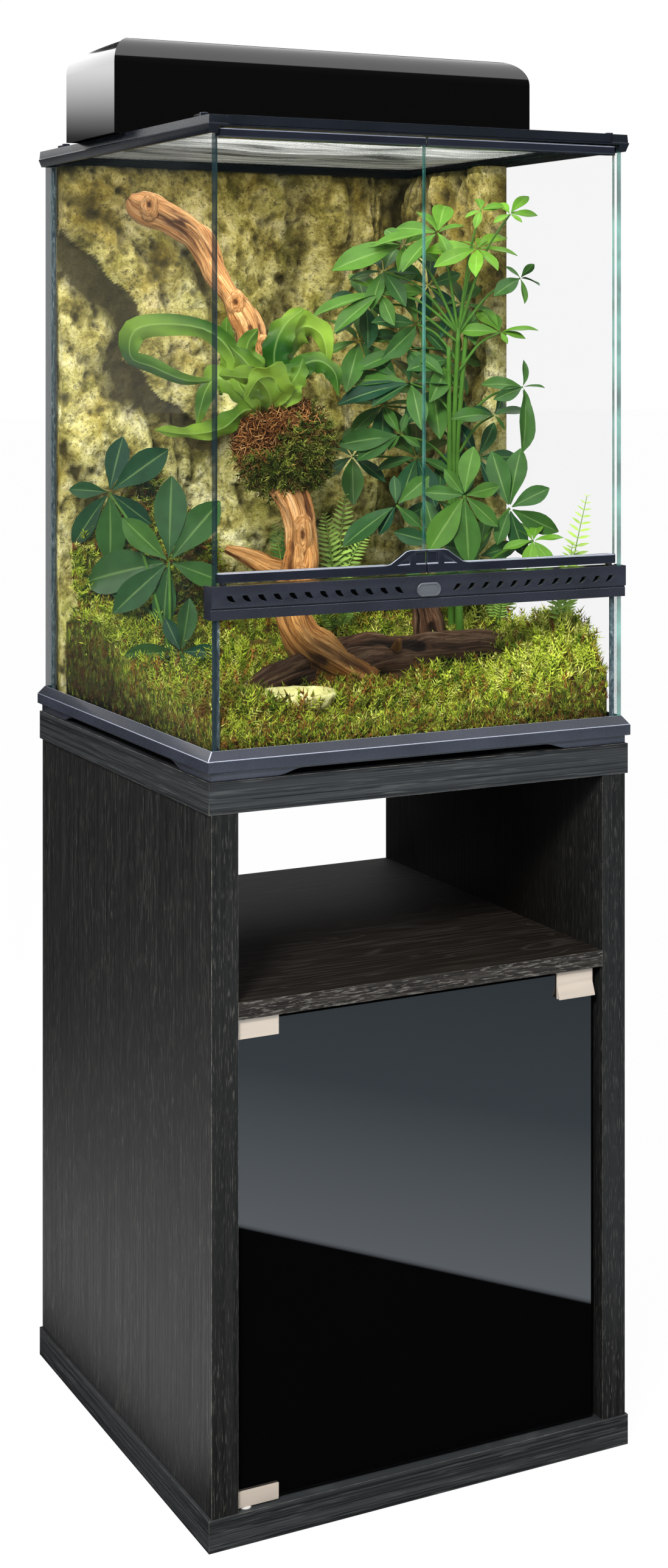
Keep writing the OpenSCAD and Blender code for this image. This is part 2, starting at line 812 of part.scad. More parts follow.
// Plate of the mesh, let into the underside of the cover's frame
module cover_mesh_plate() {
    tuck = 4;
    linear_extrude(mesh_t)
        square([2 * (cover_half - cover_frame_w + tuck), 2 * (cover_half_d - cover_frame_w + tuck)],
               center = true);
}

module cover_mesh() {
    color("#c9ccd0") translate([0, cover_mid, cover_z]) cover_mesh_plate();
}

// Turning clip that holds the cover down, shown turned aside
module cover_clip(x, y) {
    z = tank_top;
    color("#15161a") {
        rod(x, y, z - clip_pin_depth + 0.3, z + 0.1, clip_pin_d / 2);
        rod(x, y, z + 0.1, z + 3.6, clip_boss_r);
        block([x - clip_tongue_w / 2, y, z + 0.1], [x + clip_tongue_w / 2, y + clip_tongue, z + 2.6]);
    }
}

module front_left_cover_clip() { cover_clip(-clip_x, clip_front_y); }
module front_right_cover_clip() { cover_clip(clip_x, clip_front_y); }
module rear_left_cover_clip() { cover_clip(-clip_x, clip_rear_y); }
module rear_right_cover_clip() { cover_clip(clip_x, clip_rear_y); }

// Slider over the right cable inlet, with grip ribs
module inlet_slider() {
    z = tank_top - slider_t - slider_gap;
    color("#1b1d22") {
        block([inlet_x - slider_w / 2, inlet_y - slider_d / 2, z],
              [inlet_x + slider_w / 2, inlet_y + slider_d / 2, z + slider_t]);
        for (i = [-2 : 2])
            block([inlet_x + 6 * i - 1, inlet_y - inlet_d / 2, z + slider_t],
                  [inlet_x + 6 * i + 1, inlet_y + inlet_d / 2, z + slider_t + grip_rib]);
    }
}

module left_inlet_slider() { mirror([1, 0, 0]) inlet_slider(); }
module right_inlet_slider() { inlet_slider(); }

// ---------------------------------------------------------------- planting

// Place of a planting point: x from the middle, y from the front glass, z over the bed
function placed(p) = [p[0], p[1] - inside_y, bed_z + p[2] * (top_z - bed_z) / bed_to_frame];
function placed_all(path) = [for (p = path) placed(p)];

// The same with x from the right or the left glass
function from_right(p) = placed([inside_x - p[0], p[1], p[2]]);
function from_left(p) = placed([p[0] - inside_x, p[1], p[2]]);

// Height of the rock relief over a point of the wall
function rock_height(u, v, seed) = rock_t + rock_relief * (0.42
    + 0.25 * sin(1.35 * u + 1.1 * v + seed) + 0.2 * sin(2.3 * v - 1.9 * u + 2 * seed) * cos(0.9 * u)
    + 0.13 * sin(5.1 * u + seed) * sin(4.3 * v));

// Rock panels along the back and along the right side, each one relief that stands on its edge
rock_back_cols = 16;
rock_side_cols = 8;
rock_rows = 20;
rock_left = -inside_x + seal_r + slip;
rock_right = inside_x - seal_r - slip;
rock_line = inside_y - slip;
rock_deep = rock_t + rock_relief + slip;
rock_end = rock_line - rock_return;

// Relief over a length along the wall, starting at a place on it and running with the sign given
module rock_panel(start, length, run, cols, seed) {
    rise = rock_top - rock_z;
    relief([for (j = [0 : rock_rows]) let (v = rise * j / rock_rows)
        [for (i = [0 : cols]) let (u = length * i / cols)
            [u, v, rock_height(start + run * u, rock_z + v - tank_z, seed)]]]);
}

module rock_background() {
    color("#7d7a3c") translate([rock_left, rock_line, rock_z]) rotate([90, 0, 0])
        rock_panel(rock_left, rock_right - rock_left, 1, rock_back_cols, 20);
}

module rock_side() {
    start = rock_line - rock_deep;
    color("#7d7a3c") translate([inside_x - slip, start, rock_z]) rotate([90, 0, -90])
        rock_panel(start, start - rock_end, -1, rock_side_cols, 75);
}

// Height of the ground over a point
function ground_height(x, y) = ground_front
    + ground_rise * (y + inside_y) / (2 * inside_y)
    + 40 * mound(x, y, inside_x - 25, -inside_y + 45, 45)
    + 45 * mound(x, y, inside_x - 60, 60, 90)
    + 30 * mound(x, y, -inside_x + 50, 90, 70)
    + 3 * sin(7 * x) * sin(6 * y + 40);
function mound(x, y, cx, cy, r) = exp(-((x - cx) * (x - cx) + (y - cy) * (y - cy)) / (r * r));

// The ground ends in front of the rock; where the rock stops, it widens to the right glass
module ground() {
    n = 18;
    edge = seal_r + slip;
    front = -inside_y + edge;
    left = -inside_x + edge;
    step = (inside_y - rock_deep - slip - front) / n;
    rows = [for (j = [0 : n])
        let (y = front + step * j,
             right = y + step > rock_end - slip ? inside_x - rock_deep - slip : inside_x - edge)
        [for (i = [0 : n]) let (x = left + (right - left) * i / n) [x, y, ground_height(x, y)]]];
    color("#5b6b2a") difference() {
        translate([0, 0, ground_z]) relief(rows);
        between(trough_from, trough_to, trough_r);
        between(foot_from, foot_to, foot_r);
        translate(stump_path[0] - [0, 0, 10 * slip]) cylinder(h = 60, r = stump_radii[0] + 2 * slip);
        translate([dish_at[0], dish_at[1], dish_z - slip])
            cylinder(h = dish_h, r1 = dish_d / 2 - 5 + slip, r2 = dish_d / 2 + slip);
        for (r = concat([tall_root, front_root, left_root], fern_spots))
            translate(on_ground(r) - [0, 0, plant_depth + slip]) cylinder(h = 60, r = root_r + slip);
    }
}

// Round cut along the line between two points
module between(from, to, r) {
    way = to - from;
    translate(from) rotate([0, acos(way[2] / norm(way)), atan2(way[1], way[0])]) cylinder(h = norm(way), r = r);
}

// Troughs in the ground under the bark log and for the branch's foot
trough_from = placed([-172, 105, 40]);
trough_to = placed([inside_x - 14, 83, 46]);
trough_r = 43.3;
foot_from = placed([-62, 102, 52]);
foot_to = placed([-6, 79, 5]);
foot_r = 19;

// Point on the ground's surface over a place in plan
function on_ground(at) = [at[0], at[1], ground_z + ground_height(at[0], at[1])];

// Branch from the upper left of the background down to the ground at the front
branch_path = placed_all([[-160, 348, 512], [-140, 338, 496], [-112, 324, 480], [-100, 300, 451], [-92, 278, 424],
               [-84, 254, 386], [-78, 232, 346], [-84, 212, 296], [-88, 196, 250], [-70, 178, 216],
               [-56, 160, 186], [-58, 144, 136], [-80, 128, 91], [-76, 112, 58], [-48, 96, 36], [-14, 82, 14]]);
branch_radii = [9, 13, 14, 15, 15, 14, 12, 12, 13, 14, 17, 18, 17, 18, 17, 14];
stub_path = placed_all([[-66, 154, 118], [-86, 168, 126], [-106, 182, 138], [-122, 190, 144]]);
stub_radii = [11, 10, 8, 5];

module driftwood(grow) {
    tube(branch_path, [for (r = branch_radii) r + grow], 10);
    tube(stub_path, [for (r = stub_radii) r + grow], 8);
}

module driftwood_branch() {
    color("#b8763a") driftwood(0);
}

// Bark log lying across the ground with a dark stump behind it
log_path = placed_all([[-150, 102, 6], [-110, 104, 18], [-60, 108, 28], [0, 112, 34], [60, 104, 30],
            [110, 96, 32], [150, 86, 26], [184, 72, 22]]);
log_radii = [9, 17, 22, 24, 21, 22, 18, 10];
stump_path = placed_all([[96, 150, 16], [92, 154, 56], [86, 158, 92]]);
stump_radii = [20, 15, 10];

module log(grow) {
    tube(log_path, [for (r = log_radii) r + grow], 10, [0, 0, 1]);
    tube(stump_path, [for (r = stump_radii) r + grow], 8);
}

module bark_log() {
    color("#4f3524") difference() {
        log(0);
        driftwood(slip);
    }
}

dish_gap = 7;           // between the front glass and the dish
dish_at = [-112, -inside_y + dish_gap + dish_d / 2];
dish_z = ground_z + ground_front + 4;

// Shallow stone dish with a bowl turned in it
module stone_dish() {
    wall = 5;
    color("#b9b06a") translate([dish_at[0], dish_at[1], dish_z]) difference() {
        cylinder(h = dish_h, r1 = dish_d / 2 - 5, r2 = dish_d / 2);
        translate([0, 0, wall]) cylinder(h = dish_h, r1 = dish_d / 2 - wall - 6, r2 = dish_d / 2 - wall);
    }
}

moss_ball_at = placed([-62, 186, 250]);

module moss_ball() {
    color("#6b5a26") difference() {
        translate(moss_ball_at) sphere(d = moss_ball_d, $fn = 32);
        driftwood(slip);
    }
}

// Outline of a whorl: leaflets round a middle, widest past their half
function whorl_outline(leaflets, length, width) =
    [for (k = [0 : leaflets - 1]) let (a = 360 * k / leaflets, mid = atan(width / length), far = 0.55 * mid)
        each [0.18 * length * [cos(a - 180 / leaflets), sin(a - 180 / leaflets)],
              0.6 * length * [cos(a - mid), sin(a - mid)], 0.88 * length * [cos(a - far), sin(a - far)],
              length * [cos(a), sin(a)],
              0.88 * length * [cos(a + far), sin(a + far)], 0.6 * length * [cos(a + mid), sin(a + mid)]]];

// Whorl of leaflets on the end of a stalk
module whorl(at, leaflets, length, width, lean, turn) {
    translate(at) rotate([lean, 0, turn]) linear_extrude(leaf_t, center = true)
        polygon(whorl_outline(leaflets, length, width));
}

// Round bar between two points
module stalk(from, to, r) {
    way = to - from;
    translate(from) rotate([0, acos(way[2] / norm(way)), atan2(way[1], way[0])])
        cylinder(h = norm(way), r = r, $fn = 16);
}

// Straight stem that stands in its hole in the ground
module stem(root, height, r) {
    translate(on_ground(root) - [0, 0, plant_depth]) cylinder(h = height + plant_depth, r = r, $fn = 16);
}

leaf_t = 1.6;
plant_depth = 8;
root_r = 5;

// Strap leaves that spring from the moss ball: turn, tilt, length and width of each
strap_leaves = [[186, -10, 140, 24], [172, 4, 124, 26], [206, 34, 104, 20], [232, 62, 90, 26], [84, 74, 96, 30],
                [52, 64, 92, 30], [-20, 40, 90, 28], [-70, 32, 74, 22], [12, 62, 84, 24]];
strap_root = moss_ball_at + [0, 0, moss_ball_d / 2 + slip];
module strap_fern() {
    color(pale_green) translate(strap_root) {
        cylinder(h = 12, r = 8);
        for (s = strap_leaves)
            rotate([0, 0, s[0]]) translate([0, 0, 7]) rotate([0, -s[1], 0]) linear_extrude(leaf_t, center = true)
                polygon([[0, 3], [0.3 * s[2], s[3] / 2 - 2], [0.7 * s[2], s[3] / 2], [s[2], 0],
                         [0.7 * s[2], -s[3] / 2], [0.3 * s[2], -s[3] / 2 + 2], [0, -3]]);
    }
}

// Tall plant at the right: each tier's place, leaf length and turn
tall_root = [inside_x - 70, 200 - inside_y];
tall_height = 380;
tall_tiers = [[[70, 206, 508], 44, 0], [[112, 200, 482], 46, 20], [[44, 156, 478], 34, 40],
              [[124, 190, 428], 46, 10], [[52, 142, 402], 40, 30], [[98, 174, 370], 48, 0],
              [[128, 198, 328], 50, 45], [[56, 134, 316], 44, 15], [[94, 160, 282], 46, 35],
              [[150, 228, 392], 44, 25]];
module tall_umbrella_plant() {
    foot = on_ground(tall_root);
    color(leaf_green) {
        stem(tall_root, tall_height, root_r);
        for (t = tall_tiers) let (at = from_right(t[0])) {
            stalk([foot[0], foot[1], min(at[2] - 40, foot[2] + tall_height - 4)], at, 2.4);
            whorl(at, 6, t[1], 0.42 * t[1], 8, t[2]);
        }
    }
}

// Broad umbrellas low at the front right
front_root = [116, 132 - inside_y];
front_height = 60;
front_tiers = [[[112, 112, 194], 92, 12], [[60, 136, 160], 54, 30], [[156, 98, 146], 48, 50]];
module front_umbrella_plant() {
    foot = on_ground(front_root);
    color(leaf_green) {
        stem(front_root, front_height, root_r);
        for (t = front_tiers) let (at = placed(t[0])) {
            stalk([foot[0], foot[1], foot[2] + front_height - 4], at, 3);
            whorl(at, 7, t[1], 0.36 * t[1], 8, t[2]);
        }
    }
}

// Umbrellas against the left glass
left_root = [55 - inside_x, 236 - inside_y];
left_height = 54;
left_tiers = [[[54, 312, 231], 50, 0], [[56, 214, 161], 52, 20], [[52, 332, 138], 48, 40],
              [[54, 158, 88], 50, 15], [[70, 282, 190], 46, 30]];
module left_umbrella_plant() {
    foot = on_ground(left_root);
    color(leaf_green) {
        stem(left_root, left_height, root_r);
        for (t = left_tiers) let (at = from_left(t[0])) {
            stalk([foot[0], foot[1], min(at[2] - 30, foot[2] + left_height - 4)], at, 2.6);
            whorl(at, 7, t[1], 0.4 * t[1], 8, t[2]);
        }
    }
}

// Low ferns on the ground
fern_spots = [[44, 272 - inside_y], [inside_x - 44, 44 - inside_y], [inside_x - 40, 160 - inside_y]];
fern_spread = [42, 30, 30];
fern_height = 34;
module ground_ferns() {
    color(pale_green) for (k = [0 : len(fern_spots) - 1]) {
        spread = fern_spread[k];
        foot = on_ground(fern_spots[k]);
        stem(fern_spots[k], fern_height, root_r - 1);
        whorl(foot + [0, 0, fern_height - 2], 8, spread, 0.25 * spread, 10, 0);
        whorl(foot + [0, 0, fern_height - 14], 8, 0.8 * spread, 0.2 * spread, 0, 20);
    }
}

// ---------------------------------------------------------------- lamp hood

// Solid of the hood: rounded from front to back and from end to end
module hood_body(inset) {
    w = hood_w - 2 * inset;
    round_r = hood_round - inset;
    top = hood_h - inset;
    intersection() {
        translate([-w / 2, 0, 0]) rotate([90, 0, 90]) linear_extrude(w)
            arched(-hood_front + inset, hood_back - inset, top, round_r);
        translate([0, hood_back - inset, 0]) rotate([90, 0, 0]) linear_extrude(hood_d - 2 * inset)
            arched(-w / 2, w / 2, top, round_r);
    }
}

// Rectangle on the base line with two rounded upper corners
module arched(low, high, top, r) {
    union() {
        translate([low, 0]) square([high - low, top - r]);
        translate([low + r, 0]) square([high - low - 2 * r, top]);
        translate([low + r, top - r]) circle(r = r);
        translate([high - r, top - r]) circle(r = r);
    }
}

module hood_shell() {
    color(gloss_black) difference() {
        translate([0, 0, hood_z]) hood_body(0);
        translate([0, 0, hood_z]) hood_body(hood_wall);
        block([-hood_w / 2 + hood_wall, -hood_front + hood_wall, hood_z - bite],
              [hood_w / 2 - hood_wall, hood_back - hood_wall, hood_z + hood_wall]);
        translate([hood_w / 4, hood_back + bite, gland_z]) rotate([90, 0, 0])
            cylinder(h = hood_wall + 2 * bite, r = gland_r + seat);
    }
}

// Bright trough over the lamps, fixed under the hood's roof
module hood_reflector() {
    long = hood_w - 2 * hood_wall - 2 * socket_d;
    top = hood_z + hood_h - hood_wall - 0.2;
    sheet = 1.2;
    flat = hood_d / 2 - hood_round - 4;
    wide = hood_d / 2 - hood_wall - 9;
    drop = 0.55 * hood_h;
    color("#dcdfe2") translate([-long / 2, hood_mid, top]) rotate([90, 0, 90]) linear_extrude(long)
        polygon([[-wide, -drop], [-flat, 0], [flat, 0], [wide, -drop], [wide - sheet, -drop],
                 [flat - sheet, -sheet], [-flat + sheet, -sheet], [-wide + sheet, -drop]]);
}

module lamp_sockets() {
    color("#e8e4da") both_sides() bar_x(socket_end, hood_w / 2 - hood_wall, hood_mid, lamp_z, socket_d / 2);
}

// Two lamps, end to end, each with a neck in its socket
module lamps() {
    color("#f2f2ee") both_sides() {
        bar_x(socket_end - lamp_neck, socket_end, hood_mid, lamp_z, lamp_neck_d / 2);
        bar_x(socket_end - lamp_len, socket_end - lamp_neck, hood_mid, lamp_z, lamp_d / 2);
    }
}

// Ring in the rear wall where a supply lead enters
module hood_cable_gland() {
    color("#111111") translate([hood_w / 4, hood_back + 3, gland_z]) rotate([90, 0, 0]) difference() {
        union() {
            cylinder(h = 3, r = gland_r + 3);
            cylinder(h = 3 + hood_wall + 4, r = gland_r);
        }
        translate([0, 0, -bite]) cylinder(h = 3 + hood_wall + 4 + 2 * bite, r = 3.2);
    }
}

// ---------------------------------------------------------------- output

top_panel();
base_panel();
left_side_panel();
right_side_panel();
shelf();
back_panel();
panel_dowels();
pivot_bushes();
magnet_catch();
cabinet_door_glass();
upper_hinge_clip();
lower_hinge_clip();
door_pull();
clip_pads();
clip_screws();
door_pivot_pins();
base_frame();
floor_glass();
left_glass();
right_glass();
back_glass();
lower_front_glass();
glass_seals();
vent_bar();
lock_plate();
left_door_glass();
left_bottom_rail();
left_top_rail();
left_hinge_pins();
right_door_glass();
right_bottom_rail();
right_top_rail();
right_hinge_pins();
top_frame();
cover_frame();
cover_mesh();
front_left_cover_clip();
front_right_cover_clip();
rear_left_cover_clip();
rear_right_cover_clip();
left_inlet_slider();
right_inlet_slider();
rock_background();
rock_side();
ground();
driftwood_branch();
bark_log();
stone_dish();
moss_ball();
strap_fern();
tall_umbrella_plant();
front_umbrella_plant();
left_umbrella_plant();
ground_ferns();
hood_shell();
hood_reflector();
lamp_sockets();
lamps();
hood_cable_gland();
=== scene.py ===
import json
import math
import random

import bmesh
import bpy
import numpy as np
from mathutils import Matrix, Vector, noise

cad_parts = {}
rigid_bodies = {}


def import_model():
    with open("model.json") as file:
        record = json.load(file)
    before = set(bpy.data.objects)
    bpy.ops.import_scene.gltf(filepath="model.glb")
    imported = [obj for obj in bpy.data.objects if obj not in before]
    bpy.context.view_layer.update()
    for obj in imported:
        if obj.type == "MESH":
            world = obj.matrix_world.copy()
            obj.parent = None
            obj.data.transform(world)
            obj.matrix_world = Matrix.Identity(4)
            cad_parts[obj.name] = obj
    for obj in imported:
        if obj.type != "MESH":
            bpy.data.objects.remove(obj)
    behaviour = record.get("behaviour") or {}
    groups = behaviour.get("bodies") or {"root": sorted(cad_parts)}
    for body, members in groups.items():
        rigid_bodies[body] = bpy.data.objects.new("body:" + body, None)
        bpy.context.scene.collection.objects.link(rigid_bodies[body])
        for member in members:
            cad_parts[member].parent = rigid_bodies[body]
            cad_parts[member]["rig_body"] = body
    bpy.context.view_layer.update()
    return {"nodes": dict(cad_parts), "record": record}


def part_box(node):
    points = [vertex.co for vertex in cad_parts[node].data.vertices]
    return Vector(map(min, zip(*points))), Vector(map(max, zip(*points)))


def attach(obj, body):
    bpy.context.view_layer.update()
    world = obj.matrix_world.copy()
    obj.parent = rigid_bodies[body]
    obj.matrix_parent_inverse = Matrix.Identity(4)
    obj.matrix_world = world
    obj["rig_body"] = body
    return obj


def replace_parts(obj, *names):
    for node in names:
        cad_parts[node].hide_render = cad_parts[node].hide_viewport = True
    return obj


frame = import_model()
nodes = frame["nodes"]
slot_of = {p["node"]: p["material_slot"] for p in frame["record"]["subparts"]}
MM = 0.001
ROOT = "terrarium_cabinet"

# ---------------------------------------------------------------- camera

VIEW_TURN = 26.92                  # degrees that the camera looks to the right of straight ahead
EYE = (-1.063, -2.123, 1.106)
FOCAL_PX = 3712
IMAGE_H = 2576
HORIZON_PX = 566                   # height of the horizon, down from the picture's top
FILM = 36
AHEAD = Vector((math.sin(math.radians(VIEW_TURN)), math.cos(math.radians(VIEW_TURN)), 0))
ASIDE = Vector((AHEAD.y, -AHEAD.x, 0))


def make_camera():
    data = bpy.data.cameras.new("camera")
    data.sensor_width = FILM
    data.lens = FOCAL_PX * FILM / IMAGE_H
    data.shift_y = (HORIZON_PX - IMAGE_H / 2) / IMAGE_H
    camera = bpy.data.objects.new("camera", data)
    camera.location = EYE
    camera.rotation_euler = (math.radians(90), 0, math.radians(-VIEW_TURN))
    bpy.context.scene.collection.objects.link(camera)
    bpy.context.scene.camera = camera


# ---------------------------------------------------------------- material building blocks

COAT_ROUGH = 0.08
SQUARE_ON = 0.7                    # a face whose normal has more than this along an axis is square to it
SHIFT = 0.3                        # lifts every X and Y of the part above zero, where a ramp can read it


class Nodes:
    """Short calls that add nodes to one tree. A value is a number, a colour or another node's output."""

    def __init__(self, tree):
        self.tree = tree

    def put(self, value, socket):
        if isinstance(value, bpy.types.NodeSocket):
            self.tree.links.new(value, socket)
        else:
            socket.default_value = (*value, 1) if socket.type == "RGBA" else value

    def node(self, kind, inputs=None, **settings):
        made = self.tree.nodes.new(kind)
        for key, value in settings.items():
            setattr(made, key, value)
        for socket, value in (inputs or {}).items():
            self.put(value, made.inputs[socket])
        return made

    def along(self, axis, source):
        """One axis of a vector."""
        return self.node("ShaderNodeSeparateXYZ", {0: source}).outputs[axis]

    def math(self, operation, first, second=0.0):
        return self.node("ShaderNodeMath", {0: first, 1: second}, operation=operation).outputs[0]

    def ramp(self, factor, *stops):
        """Ramp of colours or greys; each stop is (place, colour)."""
        made = self.node("ShaderNodeValToRGB", {"Fac": factor})
        band = made.color_ramp
        while len(band.elements) < len(stops):
            band.elements.new(0.5)
        for element, (at, colour) in zip(band.elements, stops):
            element.position = at
            element.color = (*colour, 1) if isinstance(colour, tuple) else (colour, colour, colour, 1)
        return made.outputs["Color"]

    def blend(self, factor, first, second):
        """Mix of two shaders."""
        return self.node("ShaderNodeMixShader", {0: factor, 1: first, 2: second}).outputs[0]


class Finish(Nodes):
    """A material with one Principled shader."""

    def __init__(self, name, colour=(0.5, 0.5, 0.5), rough=0.5, metal=0.0, shine=0.5, coat=0.0):
        self.material = bpy.data.materials.new(name)
        self.material.use_nodes = True
        super().__init__(self.material.node_tree)
        self.shader = self.tree.nodes["Principled BSDF"]
        self.feed("Base Color", colour)
        self.feed("Roughness", rough)
        self.feed("Metallic", metal)
        self.feed("Specular IOR Level", shine)
        if coat:
            self.feed("Coat Weight", coat)
            self.feed("Coat Roughness", COAT_ROUGH)

    def feed(self, socket, value):
        self.put(value, self.shader.inputs[socket])

    def place(self, scale=(1, 1, 1)):
        """Place on the object in metres, scaled."""
        where = self.node("ShaderNodeTexCoord").outputs["Object"]
        return self.node("ShaderNodeMapping", {"Vector": where, "Scale": scale}).outputs["Vector"]

    def spot(self, axis):
        return self.along(axis, self.place())

    def normal(self, axis):
        return self.along(axis, self.node("ShaderNodeTexCoord").outputs["Normal"])

    def own(self, name, output="Fac"):
        """The piece's own attribute."""
        return self.node("ShaderNodeAttribute", attribute_name=name).outputs[output]

    def cloud(self, where, scale=1.0, detail=3.0, rough=0.5, warp=0.0):
        return self.node("ShaderNodeTexNoise", {"Vector": where, "Scale": scale, "Detail": detail,
                                                "Roughness": rough, "Distortion": warp}).outputs["Fac"]

    def mix(self, factor, first, second, blend="MIX"):
        """Mix of two colours."""
        return self.node("ShaderNodeMix", {0: factor, 6: first, 7: second},
                         data_type="RGBA", blend_type=blend).outputs[2]

    def times(self, first, second):
        """Product of two colours."""
        return self.mix(1.0, first, second, "MULTIPLY")

    def bump(self, height, distance, strength=1.0):
        made = self.node("ShaderNodeBump", {"Strength": strength, "Distance": distance, "Height": height})
        self.feed("Normal", made.outputs["Normal"])


def shaded(colour, share):
    """The colour times a share, so darker or paler."""
    return tuple(min(1, share * c) for c in colour)


# ---------------------------------------------------------------- finishes

def wood_finish(name, upright=True, painted_shade_inside=False):
    """Black-stained wood-look foil: pale pore dashes on upright panels, ribs along the edges of flat ones.
    Where asked, painted shade darkens the inward face towards the back.
    """
    f = Finish(name, rough=0.5, shine=0.35)
    if upright:
        dash, rib, broad = (760, 760, 64), (260, 260, 4), (40, 40, 3)
        dark, pale, rib_lift, rib_share = (0.0062, 0.0066, 0.0063), (0.05, 0.048, 0.042), 3.0, 0.4
    else:
        dash, rib, broad = (20, 20, 700), (2, 2, 520), (4, 4, 30)
        dark, pale, rib_lift, rib_share = (0.0078, 0.0087, 0.0094), (0.055, 0.06, 0.06), 4.0, 1.0
    ribs = f.cloud(f.place(rib), 1, 3, 0.6)
    pores = f.ramp(f.cloud(f.place(dash), 1, 2, 0.6), (0.56, 0.0), (0.66, 1.0))
    patches = f.ramp(f.cloud(f.place(broad), 1, 3), (0.3, 0.25), (0.7, 1.0))
    base = f.mix(f.ramp(ribs, (0.4, 0.0), (0.62, rib_share)), dark, shaded(dark, rib_lift))
    colour = f.mix(f.times(pores, patches), base, pale)
    if painted_shade_inside:
        # painted shade: the face that looks inward grows darker towards the back
        depth = f.ramp(f.math("ADD", f.spot("Y"), SHIFT), (0.08, 0.0), (0.24, 0.9))
        faces_in = f.math("LESS_THAN", f.normal("X"), -SQUARE_ON)
        colour = f.mix(f.math("MULTIPLY", faces_in, depth), colour, (0.0025, 0.002, 0.0012))
    f.feed("Base Color", colour)
    f.feed("Roughness", f.ramp(ribs, (0.35, 0.4), (0.75, 0.62)))
    f.bump(ribs, 0.0009, 0.6)
    return f.material


def worn_and_highlight_edge_finish():
    """Thin light line along the foil's edges, uneven along its length: partly wear, partly a painted
    highlight.
    """
    f = Finish("worn_and_highlight_edge", rough=0.5, shine=0.4)
    # the pale line is partly wear, partly a painted highlight
    wear_and_highlight = f.cloud(f.place(), 70, 4, 0.65)
    f.feed("Base Color", f.ramp(wear_and_highlight, (0.36, (0.02, 0.021, 0.022)), (0.52, (0.16, 0.15, 0.13)),
                                (0.7, (0.42, 0.38, 0.32))))
    return f.material


def painted_highlight_edge_finish():
    """Rounded edge of a moulded frame with a painted highlight: paler where it faces up."""
    f = Finish("painted_highlight_edge", rough=0.25, coat=0.5)
    # painted highlight on the edges that face up
    f.feed("Base Color", f.ramp(f.normal("Z"), (0.15, (0.016, 0.019, 0.028)), (0.65, (0.46, 0.5, 0.62))))
    return f.material


def shelf_finish():
    """Foil with ribs and growth rings; its front edge is chipped paler."""
    f = Finish("shelf_wood", rough=0.5, shine=0.35)
    ribs = f.cloud(f.place((8, 380, 380)), 1, 3, 0.6)
    rings = f.cloud(f.place((3, 22, 60)), 1, 2, 0.5, 1.2)
    lines = f.ramp(f.math("FRACT", f.math("MULTIPLY", rings, 9)), (0.0, 0.0), (0.12, 1.0), (0.3, 0.0))
    colour = f.mix(f.ramp(ribs, (0.5, 0.0), (0.75, 0.5)), (0.011, 0.0085, 0.0065), (0.07, 0.062, 0.052))
    colour = f.mix(f.times(lines, (0.35, 0.35, 0.35)), colour, (0.06, 0.056, 0.05))
    front = f.math("LESS_THAN", f.normal("Y"), -SQUARE_ON)
    chips = f.ramp(f.cloud(f.place((90, 90, 800)), 1, 3, 0.6), (0.54, 0.0), (0.62, 0.42))
    f.feed("Base Color", f.mix(f.math("MULTIPLY", chips, front), colour, (0.2, 0.19, 0.17)))
    f.bump(ribs, 0.0005, 0.5)
    return f.material


def black_glass_finish():
    f = Finish("black_glass", (0.0012, 0.0012, 0.0014), shine=1.0)
    f.feed("Roughness", f.ramp(f.cloud(f.place(), 9, 3), (0.4, 0.002), (0.8, 0.012)))
    return f.material


def pane_finish(name, axis, edge_dark=(0.012, 0.07, 0.06), edge_light=(0.1, 0.3, 0.26)):
    """Clear pane: its faces square to the axis let the view through and its edges are green.

    Edges at the part's left end lie against the dark seal and are darker there: painted shade."""
    edge_cover = 0.82
    f = Finish(name, rough=0.02, shine=0.6)
    face = f.math("GREATER_THAN", f.math("ABSOLUTE", f.normal(axis)), SQUARE_ON)
    green = f.ramp(f.cloud(f.place(), 30, 2), (0.35, edge_dark), (0.7, edge_light))
    # painted shade on the edges at the left end, where the dark seal lies
    painted_shade_left_end = f.ramp(f.math("ADD", f.spot("X"), SHIFT), (0.084, 0.8), (0.1, 0.0))
    f.feed("Base Color", f.mix(face, f.mix(painted_shade_left_end, green, (0.006, 0.012, 0.016)), (0.03, 0.04, 0.042)))
    mirror = f.node("ShaderNodeLayerWeight", {"Blend": 0.08}).outputs["Fresnel"]
    clear = f.math("ADD", f.math("MULTIPLY", mirror, 0.22), 0.022)
    edge = f.math("MULTIPLY", f.math("SUBTRACT", 1, face), edge_cover)
    f.feed("Alpha", f.math("ADD", f.math("MULTIPLY", face, clear), edge))
    return f.material


def plastic_finish(name, colour, rough, sparkle=0.0, coat=0.0, shine=0.5):
    """Moulded plastic with a fine texture and, where asked, metallic flecks."""
    f = Finish(name, colour, rough, shine=shine, coat=coat)
    fine = f.cloud(f.place(), 900, 2)
    base = f.ramp(f.cloud(f.place(), 14, 2), (0.3, shaded(colour, 0.78)), (0.7, shaded(colour, 1.22)))
    if sparkle:
        cells = f.node("ShaderNodeTexVoronoi", {"Vector": f.place(), "Scale": 1100}, feature="F1")
        flecks = f.ramp(cells.outputs["Distance"], (0.0, sparkle), (0.32, 0.0))
        base = f.mix(flecks, base, tuple(min(1, 3.2 * c + 0.05) for c in colour))
    f.feed("Base Color", base)
    f.feed("Roughness", f.ramp(fine, (0.3, 0.8 * rough), (0.7, min(1, 1.2 * rough))))
    f.bump(fine, 0.00012, 0.5)
    return f.material


def metal_finish(name, colour, rough, brushed=(3, 700, 700), metal=1.0):
    """Metal with fine lines; brushed holds how dense they are along each axis."""
    f = Finish(name, colour, rough, metal=metal)
    lines = f.cloud(f.place(brushed), 1, 2)
    f.feed("Roughness", f.ramp(lines, (0.3, 0.75 * rough), (0.7, 1.25 * rough)))
    f.feed("Base Color", f.ramp(lines, (0.3, shaded(colour, 0.88)), (0.7, colour)))
    f.bump(lines, 0.00006, 0.4)
    return f.material


